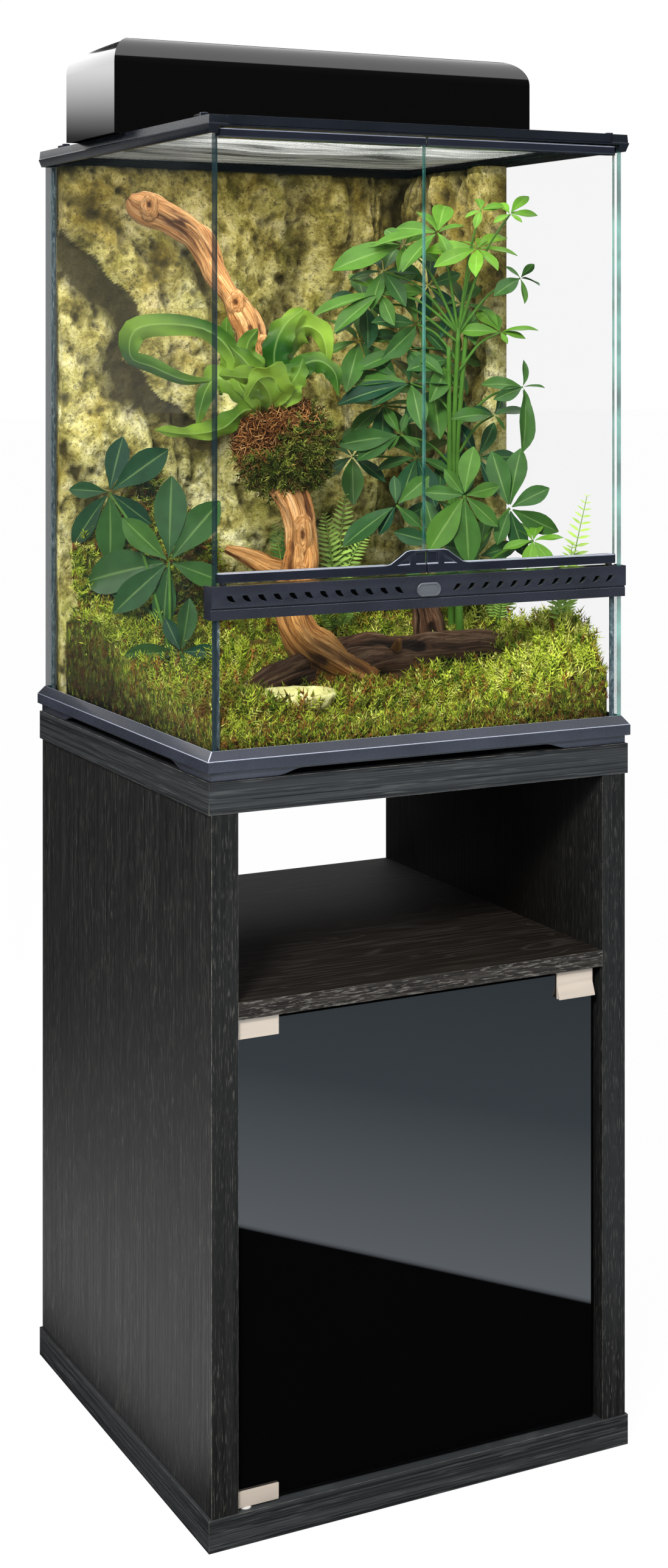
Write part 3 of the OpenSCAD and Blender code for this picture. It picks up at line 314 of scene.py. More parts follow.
def mesh_finish():
    """Pale screen wire; folds along the cloth catch more or less light."""
    f = Finish("mesh_wire", rough=0.5, metal=0.2, shine=0.6)
    fold = f.cloud(f.place((7, 42, 5)), 1, 3, 0.55, 0.8)
    f.feed("Base Color", f.ramp(fold, (0.36, (0.12, 0.13, 0.12)), (0.5, (0.5, 0.52, 0.5)),
                                (0.64, (0.95, 0.96, 0.94))))
    return f.material


def silicone_finish():
    f = Finish("silicone", rough=0.35)
    blot = f.cloud(f.place((1, 1, 0.5)), 260, 4, 0.7)
    f.feed("Base Color", f.ramp(blot, (0.4, (0.025, 0.04, 0.055)), (0.56, (0.09, 0.13, 0.15)),
                                (0.7, (0.3, 0.38, 0.4))))
    f.bump(blot, 0.0008, 0.6)
    return f.material


def rock_finish():
    """Painted rock: pale yellow bulges, olive flats and fine specks, with painted shade that turns the
    hollows dark grey-brown, painted light on the left and painted shade towards the top.
    """
    f = Finish("painted_rock", rough=0.92, shine=0.15)
    where = f.place()
    grit = f.cloud(where, 300, 4, 0.75)
    specks = f.cloud(where, 120, 5, 0.8)
    body = f.ramp(f.cloud(where, 30, 6, 0.68, 0.3), (0.34, (0.12, 0.1, 0.025)), (0.44, (0.4, 0.36, 0.1)),
                  (0.54, (0.72, 0.68, 0.28)), (0.66, (0.95, 0.92, 0.56)))
    stain = f.cloud(f.place((1, 1, 0.4)), 11, 3, 0.6, 0.6)
    body = f.mix(f.ramp(stain, (0.5, 0.0), (0.66, 0.65)), body, (0.42, 0.31, 0.035))
    mossy = f.cloud(f.place((1, 1, 0.7)), 15, 3, 0.6)
    body = f.mix(f.ramp(mossy, (0.52, 0.0), (0.7, 0.5)), body, (0.27, 0.31, 0.05))
    body = f.mix(f.ramp(specks, (0.53, 0.0), (0.64, 0.8)), body, (0.075, 0.062, 0.03))
    body = f.mix(f.ramp(grit, (0.34, 0.65), (0.48, 0.0)), body, (0.1, 0.088, 0.025))
    # painted shade: darker and browner towards the top, a little paler low down
    height = f.math("SUBTRACT", f.spot("Z"), 0.5)
    painted_shade_up = f.ramp(height, (0.5, (1.1, 1.1, 1.1)), (0.66, (0.9, 0.87, 0.8)),
                        (0.76, (0.58, 0.53, 0.43)))
    # painted light: paler towards the left end
    painted_light_left = f.ramp(f.math("ADD", f.spot("X"), SHIFT), (0.1, (1.35, 1.33, 1.3)),
                        (0.26, (1.0, 1.0, 1.0)))
    body = f.times(f.times(body, painted_shade_up), painted_light_left)
    # painted shade: the hollow value darkens the hollows
    shade = f.ramp(f.own("hollow"), (0.34, 0.0), (0.6, 0.5), (0.95, 0.95))
    f.feed("Base Color", f.mix(shade, body, (0.045, 0.036, 0.012)))
    f.bump(f.mix(0.5, grit, specks), 0.007)
    return f.material


def soil_finish():
    f = Finish("soil_and_moss", rough=0.95, shine=0.1)
    where = f.place()
    fine = f.cloud(where, 330, 4, 0.7)
    body = f.ramp(f.cloud(where, 26, 4, 0.6), (0.34, (0.045, 0.022, 0.01)), (0.46, (0.1, 0.075, 0.018)),
                  (0.6, (0.16, 0.19, 0.03)), (0.75, (0.3, 0.33, 0.06)))
    f.feed("Base Color", f.mix(f.ramp(fine, (0.35, 0.75), (0.6, 0.0)), body, (0.02, 0.014, 0.006)))
    f.bump(fine, 0.004, 0.9)
    return f.material


def sprig_finish():
    """Moss blades take their colour from the tint of each sprig."""
    f = Finish("moss_blades", rough=0.75, shine=0.2)
    soft = f.ramp(f.cloud(f.place(), 150, 2), (0.25, 0.62), (0.75, 1.0))
    f.feed("Base Color", f.times(f.own("tint", "Color"), soft))
    return f.material


def leaf_finish(name, dark, light, rough):
    """Leaf: the midrib lies where the leaf's own map is zero, and its tint mixes dark and light."""
    f = Finish(name, rough=rough)
    body = f.mix(f.own("tint"), dark, light)
    mottled = f.times(body, f.ramp(f.cloud(f.place(), 60, 3), (0.3, 0.72), (0.7, 1.0)))
    rib = f.ramp(f.own("across"), (0.0, 0.85), (0.05, 0.5), (0.1, 0.0))
    f.feed("Base Color", f.mix(rib, mottled, f.mix(0.35, body, (0.3, 0.45, 0.14))))
    f.bump(f.cloud(f.place(), 240, 2), 0.0004, 0.35)
    return f.material


def branch_finish(name, stops, dark, warp, rough=0.6, darker_foot=False):
    """Weathered wood: grain lines run along the branch and swirl round knots."""
    f = Finish(name, rough=rough, shine=0.3)
    lines = f.cloud(f.own("grain", "Vector"), 1, 4, 0.6, warp)
    swirl = f.math("MULTIPLY", f.cloud(f.place(), 24, 2), 0.35)
    rings = f.math("FRACT", f.math("MULTIPLY", f.math("ADD", lines, swirl), 9))
    veins = f.ramp(rings, (0.0, 0.6), (0.1, 0.15), (0.25, 0.0), (0.95, 0.0), (1.0, 0.55))
    body = f.mix(veins, f.ramp(lines, *stops), dark)
    body = f.mix(f.ramp(f.own("hollow"), (0.42, 0.0), (0.8, 0.92)), body, dark)
    if darker_foot:
        body = f.times(body, f.ramp(f.spot("Z"), (0.76, (0.5, 0.44, 0.28)), (0.86, (0.8, 0.76, 0.6)),
                                    (0.95, (1.0, 1.0, 1.0))))
    f.feed("Base Color", body)
    f.bump(f.mix(0.5, lines, veins), 0.0026, 0.9)
    return f.material


def dish_finish():
    f = Finish("dish_stone", rough=0.75, shine=0.3)
    where = f.place()
    f.feed("Base Color", f.ramp(f.cloud(where, 55, 4, 0.6), (0.3, (0.3, 0.29, 0.1)),
                                (0.5, (0.55, 0.54, 0.22)), (0.7, (0.72, 0.72, 0.38))))
    f.bump(f.cloud(where, 200, 4), 0.002, 0.8)
    return f.material


# ---------------------------------------------------------------- mesh building blocks

def dressed(name, mesh, material, body=ROOT, smooth=True, attributes=None, crease=None):
    """Object from a mesh, riding on a body; edges that turn more than the crease in degrees stay sharp."""
    if smooth:
        mesh.polygons.foreach_set("use_smooth", [True] * len(mesh.polygons))
    if crease:
        mesh.set_sharp_from_angle(angle=math.radians(crease))
    for key, values in (attributes or {}).items():
        values = np.asarray(values, np.float32)
        kind, field = ("FLOAT", "value") if values.ndim == 1 else ("FLOAT_VECTOR", "vector")
        mesh.attributes.new(key, kind, "POINT").data.foreach_set(field, values.ravel())
    obj = bpy.data.objects.new(name, mesh)
    bpy.context.scene.collection.objects.link(obj)
    mesh.materials.append(material)
    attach(obj, body)
    return obj


def mesh_of(name, bm):
    """Mesh from a bmesh, which is freed."""
    mesh = bpy.data.meshes.new(name)
    bm.to_mesh(mesh)
    bm.free()
    return mesh


def finished(name, bm, material, smooth=True, attributes=None):
    """Piece on the main body from a bmesh."""
    return dressed(name, mesh_of(name, bm), material, ROOT, smooth, attributes)


def solid(name, shape, material, attributes, crease=None):
    """Piece from one (points, faces)."""
    mesh = bpy.data.meshes.new(name)
    mesh.from_pydata([tuple(p) for p in shape[0]], [], shape[1])
    mesh.update()
    return dressed(name, mesh, material, attributes=attributes, crease=crease)


def softened(node, width, edge_material=None):
    """A merged copy of a CAD node with its sharp edges rounded, which stands for the node."""
    rounded_turn, shaded_turn = 28, 24
    source = nodes[node]
    bm = bmesh.new()
    bm.from_mesh(source.data)
    bmesh.ops.remove_doubles(bm, verts=bm.verts, dist=2e-6)
    bmesh.ops.dissolve_limit(bm, angle_limit=math.radians(1), verts=bm.verts, edges=bm.edges,
                             delimit={"NORMAL"})
    sharp = [e for e in bm.edges if e.is_manifold and e.calc_face_angle(0) > math.radians(rounded_turn)]
    bmesh.ops.bevel(bm, geom=sharp, offset=width, offset_type="OFFSET", segments=2, profile=0.5,
                    affect="EDGES", clamp_overlap=True, material=1 if edge_material else -1)
    bmesh.ops.triangulate(bm, faces=[f for f in bm.faces if len(f.verts) > 4])
    mesh = mesh_of(node + "_softened", bm)
    obj = dressed(mesh.name, mesh, source.data.materials[0], source["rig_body"],
                  crease=shaded_turn)
    if edge_material:
        mesh.materials.append(edge_material)
    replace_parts(obj, node)


def edge_ring(bm):
    """New vertices that grow from the open edges of a mesh, each still at its old one's place."""
    grown = bmesh.ops.extrude_edge_only(bm, edges=[e for e in bm.edges if e.is_boundary])["geom"]
    return [v for v in grown if isinstance(v, bmesh.types.BMVert)]


def sweep(path, radii, sides):
    """Closed tube through the path's points, as a bmesh with its rings in order."""
    bm = bmesh.new()
    ring = bmesh.ops.create_circle(bm, segments=sides, radius=1.0)["verts"]
    angles = [2 * math.pi * k / sides for k in range(sides)]
    path = [Vector(p) for p in path]
    across = Vector((0, 0, 1))
    rings = []
    for i, centre in enumerate(path):
        ahead = (path[min(i + 1, len(path) - 1)] - path[max(i - 1, 0)]).normalized()
        across = (across - across.dot(ahead) * ahead).normalized()
        side = ahead.cross(across)
        if i:
            edges = [bm.edges.get((ring[k], ring[(k + 1) % sides])) for k in range(sides)]
            grown = bmesh.ops.extrude_edge_only(bm, edges=edges)["geom"]
            fresh = set(v for v in grown if isinstance(v, bmesh.types.BMVert))
            ring = [next(e.other_vert(v) for e in v.link_edges if e.other_vert(v) in fresh) for v in ring]
        for vert, angle in zip(ring, angles):
            vert.co = centre + float(radii[i]) * (math.cos(angle) * across + math.sin(angle) * side)
        rings.append(list(ring))
    for end in (rings[0], rings[-1]):
        bmesh.ops.contextual_create(bm, geom=end)
    bmesh.ops.recalc_face_normals(bm, faces=bm.faces)
    return bm, rings


def curve_points(stops, count):
    """Smooth path of count points through the stops (Catmull-Rom); each stop is a tuple of numbers."""
    stops = np.array(stops, float)
    ends = np.vstack([2 * stops[0] - stops[1], stops, 2 * stops[-1] - stops[-2]])
    places = np.linspace(0, len(stops) - 1, count)
    out = []
    for place in places:
        i = min(int(place), len(stops) - 2)
        t = place - i
        p0, p1, p2, p3 = ends[i:i + 4]
        out.append(0.5 * (2 * p1 + (p2 - p0) * t + (2 * p0 - 5 * p1 + 4 * p2 - p3) * t * t
                          + (3 * p1 - p0 - 3 * p2 + p3) * t ** 3))
    return np.array(out)


def template_of(bm):
    """(points, faces) of a bmesh."""
    bm.verts.index_update()
    points = np.array([v.co[:] for v in bm.verts])
    faces = [[v.index for v in f.verts] for f in bm.faces]
    bm.free()
    return points, faces


def merged(parts):
    """One (points, faces) from several."""
    points, faces, base = [], [], 0
    for some, polygons in parts:
        points.append(np.asarray(some))
        faces += [[i + base for i in f] for f in polygons]
        base += len(some)
    return np.vstack(points), faces


def copies(name, template, frames, material, tints, body=ROOT, extra=None, crease=None):
    """Many placed copies of one small mesh in one piece.

    template is (points, faces), frames an array of 4x4 matrices and tints one colour or value per copy;
    extra holds values of the template's own points."""
    points, faces = template
    frames = np.asarray(frames)
    moved = np.einsum("nij,pj->npi", frames[:, :3, :3], points) + frames[:, None, :3, 3]
    count, size = len(frames), len(points)
    mesh = bpy.data.meshes.new(name)
    mesh.vertices.add(count * size)
    mesh.vertices.foreach_set("co", moved.reshape(-1).astype(np.float32))
    loops = np.concatenate([np.array(f) for f in faces])
    every = (loops[None, :] + size * np.arange(count)[:, None]).ravel()
    mesh.loops.add(len(every))
    mesh.loops.foreach_set("vertex_index", every.astype(np.int32))
    totals = np.tile([len(f) for f in faces], count)
    starts = np.concatenate([[0], np.cumsum(totals)[:-1]])
    mesh.polygons.add(len(totals))
    mesh.polygons.foreach_set("loop_start", starts.astype(np.int32))
    mesh.update(calc_edges=True)
    attributes = {"tint": np.repeat(np.asarray(tints), size, axis=0)}
    attributes.update({key: np.tile(values, count) for key, values in (extra or {}).items()})
    return dressed(name, mesh, material, body, attributes=attributes, crease=crease)


def facing(direction, turn, at, size):
    """4x4 frame whose Z looks along direction, turned about it, at a place and size."""
    z = Vector(direction).normalized()
    rot = z.to_track_quat("Z", "Y").to_matrix().to_4x4() @ Matrix.Rotation(turn, 4, "Z")
    return np.array(Matrix.Translation(at) @ rot @ Matrix.Scale(size, 4))


def clamp(value, low=0, high=1):
    return min(high, max(low, value))


def fractal(point, octaves):
    """Sum of noises, each about twice as fine as the one before and half as strong."""
    total, size = 0.0, 1.0
    for _ in range(octaves):
        total += size * noise.noise(point)
        point = point * 2.1
        size *= 0.5
    return total


# ---------------------------------------------------------------- finishes of the CAD nodes

worn_and_highlight_edge = worn_and_highlight_edge_finish()
painted_highlight_edge = painted_highlight_edge_finish()
moss_green = sprig_finish()
pane_front = pane_finish("clear_pane_front", "Y")
upright_wood = wood_finish("black_wood_upright")
finish_of = {
    "black_wood": wood_finish("black_wood_flat", upright=False),
    "dowel_wood": Finish("beech", (0.48, 0.29, 0.12), 0.6).material,
    "nickel": metal_finish("satin_nickel", (0.7, 0.61, 0.52), 0.5, (9, 300, 300), 0.45),
    "steel": metal_finish("plain_steel", (0.55, 0.55, 0.54), 0.35),
    "bush_plastic": plastic_finish("bush_plastic", (0.7, 0.7, 0.68), 0.45),
    "pad": plastic_finish("clip_pad", (0.6, 0.6, 0.58), 0.7),
    "catch": plastic_finish("catch_plastic", (0.03, 0.03, 0.032), 0.5),
    "black_glass": black_glass_finish(),
    "clear_glass": pane_front,
    "silicone": silicone_finish(),
    "slate_plastic": plastic_finish("slate_plastic", (0.026, 0.03, 0.043), 0.3, sparkle=0.35, coat=0.25),
    "navy_plastic": plastic_finish("navy_plastic", (0.009, 0.011, 0.018), 0.2, sparkle=0.15, coat=0.9),
    "bar_plastic": plastic_finish("bar_plastic", (0.015, 0.017, 0.025), 0.3, sparkle=0.2, coat=0.2),
    "cover_metal": plastic_finish("cover_paint", (0.008, 0.009, 0.012), 0.35),
    "mesh_wire": mesh_finish(),
    "rock": rock_finish(),
    "moss": soil_finish(),
    "driftwood": branch_finish(
        "driftwood", ((0.3, (0.17, 0.06, 0.016)), (0.45, (0.43, 0.19, 0.055)), (0.6, (0.66, 0.37, 0.15)),
                      (0.78, (0.8, 0.58, 0.33))), (0.085, 0.028, 0.008), 1.1, darker_foot=True),
    "bark": branch_finish(
        "bark", ((0.3, (0.022, 0.011, 0.006)), (0.5, (0.085, 0.042, 0.022)), (0.68, (0.2, 0.125, 0.075))),
        (0.009, 0.005, 0.003), 0.7, 0.85),
    "dish_stone": dish_finish(),
    "root_moss": moss_green,
    "strap_leaf": leaf_finish("strap_leaf", (0.014, 0.07, 0.006), (0.2, 0.34, 0.035), 0.3),
    "umbrella_leaf": leaf_finish("umbrella_leaf", (0.009, 0.048, 0.024), (0.14, 0.34, 0.02), 0.28),
    "fern_leaf": leaf_finish("fern_leaf", (0.03, 0.13, 0.015), (0.42, 0.66, 0.12), 0.5),
    "gloss_black": Finish("gloss_black", (0.0007, 0.0006, 0.0005), 0.05, shine=1.0, coat=1.0).material,
    "reflector": metal_finish("reflector", (0.8, 0.81, 0.82), 0.2),
    "socket": Finish("porcelain", (0.75, 0.72, 0.65), 0.3).material,
    "lamp": Finish("lamp_glass", (0.85, 0.85, 0.82), 0.25).material,
    "gland": plastic_finish("gland_rubber", (0.006, 0.006, 0.006), 0.6),
}
finish_of_node = {
    "top_frame": plastic_finish("top_frame_plastic", (0.007, 0.009, 0.013), 0.28, shine=0.12),
    "left_side_panel": upright_wood,
    # the right panel's inward face has painted shade towards the back
    "right_side_panel": wood_finish("black_wood_inner_painted_shade", painted_shade_inside=True),
    "back_panel": upright_wood,
    "shelf": shelf_finish(),
    # the left pane's edges take darker, greyer greens than the other panes: painted shade
    "left_glass": pane_finish("clear_pane_left", "X", (0.012, 0.03, 0.036), (0.03, 0.07, 0.08)),
    "right_glass": pane_finish("clear_pane_side", "X"),
    "floor_glass": pane_finish("clear_pane_floor", "Z"),
}
for name, obj in nodes.items():
    obj.data.materials.clear()
    obj.data.materials.append(finish_of_node.get(name) or finish_of[slot_of[name]])

# edge finishes: worn edges with a painted highlight on the wood, a painted highlight on the frames
EDGE_FINISH = {"black_wood": worn_and_highlight_edge, "slate_plastic": painted_highlight_edge, "navy_plastic": painted_highlight_edge,
               "bar_plastic": painted_highlight_edge}
SOFT_EDGES = {                     # width of the rounding in metres: the nodes that have it
    0.0007: ["top_panel", "base_panel", "left_side_panel", "right_side_panel", "shelf"],
    0.0006: ["cabinet_door_glass"],
    0.0026: ["top_frame"],
    0.0018: ["base_frame"],
    0.0011: ["cover_frame", "vent_bar"],
    0.0015: ["left_top_rail", "right_top_rail", "left_bottom_rail", "right_bottom_rail"],
    0.0005: ["upper_hinge_clip", "lower_hinge_clip", "door_pull", "front_left_cover_clip",
             "front_right_cover_clip", "rear_left_cover_clip", "rear_right_cover_clip"],
}
for width, group in SOFT_EDGES.items():
    for name in group:
        softened(name, width, EDGE_FINISH.get(slot_of[name]))


# ---------------------------------------------------------------- screen mesh

def screen_mesh():
    """Fine woven wires with soft folds, tucked under the cover's frame."""
    low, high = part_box("cover_mesh")
    tuck, lift = 0.003, 0.0004
    pitch, radius, step, weave = 0.0022, 0.00026, 0.0085, 0.00022
    fold, finer_fold, sag = 0.0028, 0.5, 0.0035
    z = low.z + lift
    x0, x1, y0, y1 = low.x + tuck, high.x - tuck, low.y + tuck, high.y - tuck

    def hang(x, y):
        inside = max(0, math.sin(math.pi * (x - x0) / (x1 - x0)) * math.sin(math.pi * (y - y0) / (y1 - y0)))
        folds = noise.noise(Vector((x * 9, y * 7, 0.3)))
        folds += finer_fold * noise.noise(Vector((x * 22, y * 17, 4.0)))
        return (fold * folds - sag) * inside ** 0.5

    for name, start, end, first, last in (("length", x0, x1, y0, y1), ("width", y0, y1, x0, x1)):
        rings = int((end - start) / step) + 1
        lengthwise = name == "length"
        path = [(s, 0, 0) if lengthwise else (0, s, 0) for s in np.linspace(start, end, rings)]
        bm, _ = sweep(path, [radius] * rings, 3)
        frames = [np.array(Matrix.Translation((0, w, z) if lengthwise else (w, 0, z)))
                  for w in np.arange(first, last, pitch)]
        obj = copies(f"screen_wires_{name}", template_of(bm), frames, finish_of["mesh_wire"],
                     [0.5] * len(frames), body="screen_cover")
        flat = np.zeros(3 * len(obj.data.vertices), np.float32)
        obj.data.vertices.foreach_get("co", flat)
        spots = flat.reshape(len(frames), rings, 3, 3)
        for wire in range(len(frames)):
            for ring in range(rings):
                at = spots[wire, ring].mean(axis=0)
                over = (wire + ring + lengthwise) % 2
                spots[wire, ring, :, 2] += hang(at[0], at[1]) + (weave if over else -weave)
        obj.data.vertices.foreach_set("co", spots.ravel())
        obj.data.update()
        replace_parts(obj, "cover_mesh")


# ---------------------------------------------------------------- rock background

CABINET_TOP = 705                  # mm
BACK_SEED, SIDE_SEED = 20, 75      # of the CAD relief along the back and along the right side
SLAB_EDGE = [(-0.24, 1.25), (-0.18, 1.204), (-0.127, 1.15), (-0.119, 1.118), (-0.138, 1.09), (-0.11, 1.062),
             (-0.09, 1.045), (-0.045, 1.02), (0.0, 1.005)]


def rock_depth(u, z, seed):
    """Depth of the CAD relief in mm at a place along the wall and a height, both in metres."""
    u, v = u / MM, z / MM - CABINET_TOP
    c = math.cos(math.radians(0.9 * u))

    def s(a):
        return math.sin(math.radians(a))

    return 12 + 20 * (0.42 + 0.25 * s(1.35 * u + 1.1 * v + seed) + 0.2 * s(2.3 * v - 1.9 * u + 2 * seed) * c
                      + 0.13 * s(5.1 * u + seed) * s(4.3 * v))


def over_edge(line, x, z):
    """Distance of a place from a line on the wall; positive above the line."""
    nearest, sign = 1.0, 1
    for (ax, az), (bx, bz) in zip(line, line[1:]):
        along = Vector((bx - ax, bz - az))
        from_a = Vector((x - ax, z - az))
        gap = (from_a - clamp(from_a.dot(along) / along.length_squared) * along).length
        if gap < nearest:
            nearest, sign = gap, 1 if along.cross(from_a) > 0 else -1
    return sign * nearest


def rock_detail(u, v):
    """Folds, creases and pits in mm and how hollow the place is, from metres along the wall and up. The
    hollow value is painted shade: darker in creases and pits, paler on lumps.
    """
    lean = 0.85 / (1 + math.exp((u - 0.13) / 0.03)) if v > 0.95 else 0.2
    up = v - 1.1
    across = u * math.cos(lean) + up * math.sin(lean)
    along = up * math.cos(lean) - u * math.sin(lean)
    bend = noise.noise(Vector((u * 6, v * 5, 1.7)))
    bulge = min(1, 2.4 * abs(noise.noise(Vector((across * 15 + 1.1 * bend, along * 3.4 - 0.6 * bend, 4.3)))))
    small = min(1, 2.6 * abs(noise.noise(Vector((across * 38 + 1.6 * bend, along * 9, 8.1)))))
    lumps = fractal(Vector((u * 17, v * 14, 2.2)), 4)
    pits = max(0.0, fractal(Vector((u * 85, v * 75, 5)), 2) - 0.05)
    torn = max(0.0, noise.noise(Vector((u * 9, v * 6, 12)))) * 2
    height = 10 * bulge ** 0.6 + 3.6 * torn * small ** 0.6 + 6.5 * lumps - 6.0 * pits - 7
    # painted shade in creases and pits, painted light on lumps
    hollow = 0.6 * (1 - bulge) ** 2.6 + 0.6 * torn * (1 - small) ** 2 - 0.5 * lumps + 1.1 * pits
    return height, hollow


def slab(x, z):
    """Slab that hangs over the left of the rock: what it adds to the depth in mm and to the hollow, which is
    a painted shadow below its edge and a painted highlight above it.
    """
    ledge, edge_width, shadow_width, glow_width = 13, 0.0035, 0.02, 0.02
    off = over_edge(SLAB_EDGE, x, z) + 0.009 * noise.noise(Vector((x * 28, z * 28, 9)))
    fade = clamp((0.02 - x) / 0.05)
    raised = fade * ledge * (1 / (1 + math.exp(-off / edge_width)) - 0.35)
    if off < 0:
        return raised, fade * 1.3 * math.exp(-((off + 0.01) / shadow_width) ** 2)
    return raised, -fade * 0.35 * math.exp(-(off / glow_width) ** 2)


def rock_background():
    """Relief along the back that goes round the corner along the right side, closed behind."""
    low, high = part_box("rock_background")
    side_low, side_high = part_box("rock_side")
    back_y, right_x = high.y, side_high.x
    across, down = right_x - low.x, back_y - side_low.y
    cols, rows = 300, 270
    lap, turn = 0.004, 0.02        # how far it stands over the CAD panel, and the width of its corner
    least, corner_width, corner_share, corner_rim = 4, 0.03, 0.6, 0.045
    bm = bmesh.new()
    bmesh.ops.create_grid(bm, x_segments=cols, y_segments=rows, size=0.5)
    hollows = []
    for v in bm.verts:
        s, z = (v.co.x + 0.5) * (across + down), low.z + (v.co.y + 0.5) * (high.z + lap - low.z)
        detail, hollow = rock_detail(s, z)
        if s <= across:
            x = low.x + s
            # the slab's painted shadow and painted highlight
            raised, slab_shadow_and_highlight = slab(x, z)
            hollow += slab_shadow_and_highlight
            depth = max(least, rock_depth(x, z, BACK_SEED) + raised + detail)
            corner = clamp((right_x - corner_width - x) / corner_width)
            v.co = (x - (1 - corner) * depth * MM * corner_share, back_y - depth * MM, z)
        else:
            y = back_y - turn - (s - across) * (down - turn) / down
            depth = max(least, rock_depth(y, z, SIDE_SEED) + detail)
            v.co = (right_x - depth * MM, y, z)
        # the painted shade of each point
        hollows.append(clamp(0.28 + 0.6 * hollow))
    for v in edge_ring(bm):
        side_wall = v.co.x > right_x - corner_rim and v.co.y < back_y - corner_rim
        v.co.x, v.co.y = (right_x, v.co.y) if side_wall else (v.co.x, back_y)
    top, bottom = max(v.co.z for v in bm.verts), min(v.co.z for v in bm.verts)
    level = [e for e in bm.edges if e.is_boundary and abs(e.verts[0].co.z - e.verts[1].co.z) < 1e-6
             and min(top - e.verts[0].co.z, e.verts[0].co.z - bottom) < 1e-6]
    bmesh.ops.bridge_loops(bm, edges=level)
    ends = [e for e in bm.edges if e.is_boundary and e.calc_length() > 0.5 * (top - bottom)]
    bmesh.ops.subdivide_edges(bm, edges=ends, cuts=rows - 1)
    bmesh.ops.remove_doubles(bm, verts=bm.verts, dist=1e-5)
    bmesh.ops.recalc_face_normals(bm, faces=bm.faces)
    hollows += [0.5] * (len(bm.verts) - len(hollows))
    obj = finished("rock_relief", bm, finish_of["rock"], attributes={"hollow": hollows})
    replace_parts(obj, "rock_background", "rock_side")


# ---------------------------------------------------------------- ground and moss

GROUND_Z = 0.724


def ground_height(x, y):
    """Height of the CAD ground in mm over its underside, from mm."""
    def mound(cx, cy, r):
        return math.exp(-((x - cx) ** 2 + (y - cy) ** 2) / (r * r))
    return (30 + 45 * (y + 220) / 440 + 40 * mound(195, -175, 45) + 45 * mound(160, 60, 90)
            + 30 * mound(-170, 90, 70)
            + 3 * math.sin(math.radians(7 * x)) * math.sin(math.radians(6 * y + 40)))


def ground_top(x, y):
    """Height of the dressed ground in metres over a place in metres."""
    sunk, roughness, heap_height, bank_height = 2.5, 4.5, 42, 13       # mm
    rough = roughness * fractal(Vector((x * 24, y * 24, 2.0)), 4)
    heap = heap_height * math.exp(-((x - 0.2) / 0.11) ** 2 - ((y + 0.1) / 0.085) ** 2)
    bank = bank_height * clamp((y - 0.02) / 0.1)
    return GROUND_Z + MM * (ground_height(x / MM, y / MM) - sunk + rough + heap + bank)


def ground_surface():
    """Closed heap of soil under the moss."""
    low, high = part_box("ground")
    bm = bmesh.new()
    bmesh.ops.create_grid(bm, x_segments=130, y_segments=130, size=0.5)
    for v in bm.verts:
        x = low.x + (v.co.x + 0.5) * (high.x - low.x)
        y = low.y + (v.co.y + 0.5) * (high.y - low.y)
        v.co = (x, y, ground_top(x, y))
    for v in edge_ring(bm):
        v.co.z = GROUND_Z + 0.0005
    bmesh.ops.contextual_create(bm, geom=[e for e in bm.edges if e.is_boundary])
    bmesh.ops.recalc_face_normals(bm, faces=bm.faces)
    obj = finished("ground_surface", bm, finish_of["moss"])
    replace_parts(obj, "ground")


def blade(bm, place, width, length):
    """One closed three-sided blade of moss, flattened and pointed."""
    flat = Matrix.Translation((0, 0, 0.5 * length)) @ Matrix.Diagonal((0.55, 1.3, 1, 1))
    bmesh.ops.create_cone(bm, cap_ends=True, segments=3, radius1=width, radius2=0.0, depth=length,
                          matrix=place @ flat)


def sprig_template(blades, seed):
    """A tuft of thin pointed blades, about one unit high."""
    rng = random.Random(seed)
    bm = bmesh.new()
    for k in range(blades):
        turn, lean = 2 * math.pi * k / blades + rng.uniform(-0.5, 0.5), rng.uniform(0.25, 1.15)
        place = Matrix.Rotation(turn, 4, "Z") @ Matrix.Rotation(lean, 4, "Y")
        blade(bm, place, 0.085, rng.uniform(0.55, 1.0))
    return template_of(bm)


def feather_template(seed):
    """A bent stalk of feathery moss with pairs of barbs, about one unit long."""
    pairs, bend = 5, 0.28
    rng = random.Random(seed)
    bm = bmesh.new()
    blade(bm, Matrix.Identity(4), 0.035, 1.0)
    for k in range(pairs):
        at = 0.16 + 0.78 * k / pairs
        for side in (-1, 1):
            place = (Matrix.Translation((0, 0, at)) @ Matrix.Rotation(rng.uniform(-0.7, 0.7), 4, "Z")
                     @ Matrix.Rotation(side * rng.uniform(0.6, 1.0), 4, "Y"))
            blade(bm, place, 0.045, 0.42 * (1 - 0.55 * at) * rng.uniform(0.8, 1.2))
    for v in bm.verts:
        v.co.x += bend * max(0, v.co.z) ** 2
    return template_of(bm)


# olive, yellow-green, deep green, pale tips, straw, rust
MOSS_COLOURS = [(0.4, 0.52, 0.04), (0.66, 0.8, 0.08), (0.12, 0.21, 0.016), (0.9, 0.95, 0.22),
                (0.34, 0.28, 0.035), (0.38, 0.17, 0.035)]
GLASS_IN = 0.2197                  # inner face of the glass from the middle, on all four sides
GLASS_GAP = 0.001                  # that moss stays clear of the glass


def moss_tint(rng, weights, dull):
    """Colour of one sprig; weights are for the moss colours."""
    pick, shade = rng.choices(MOSS_COLOURS, weights)[0], dull * rng.uniform(0.6, 1.2)
    return [c * shade for c in pick]


def any_turn(rng):
    return rng.uniform(0, 6.3)


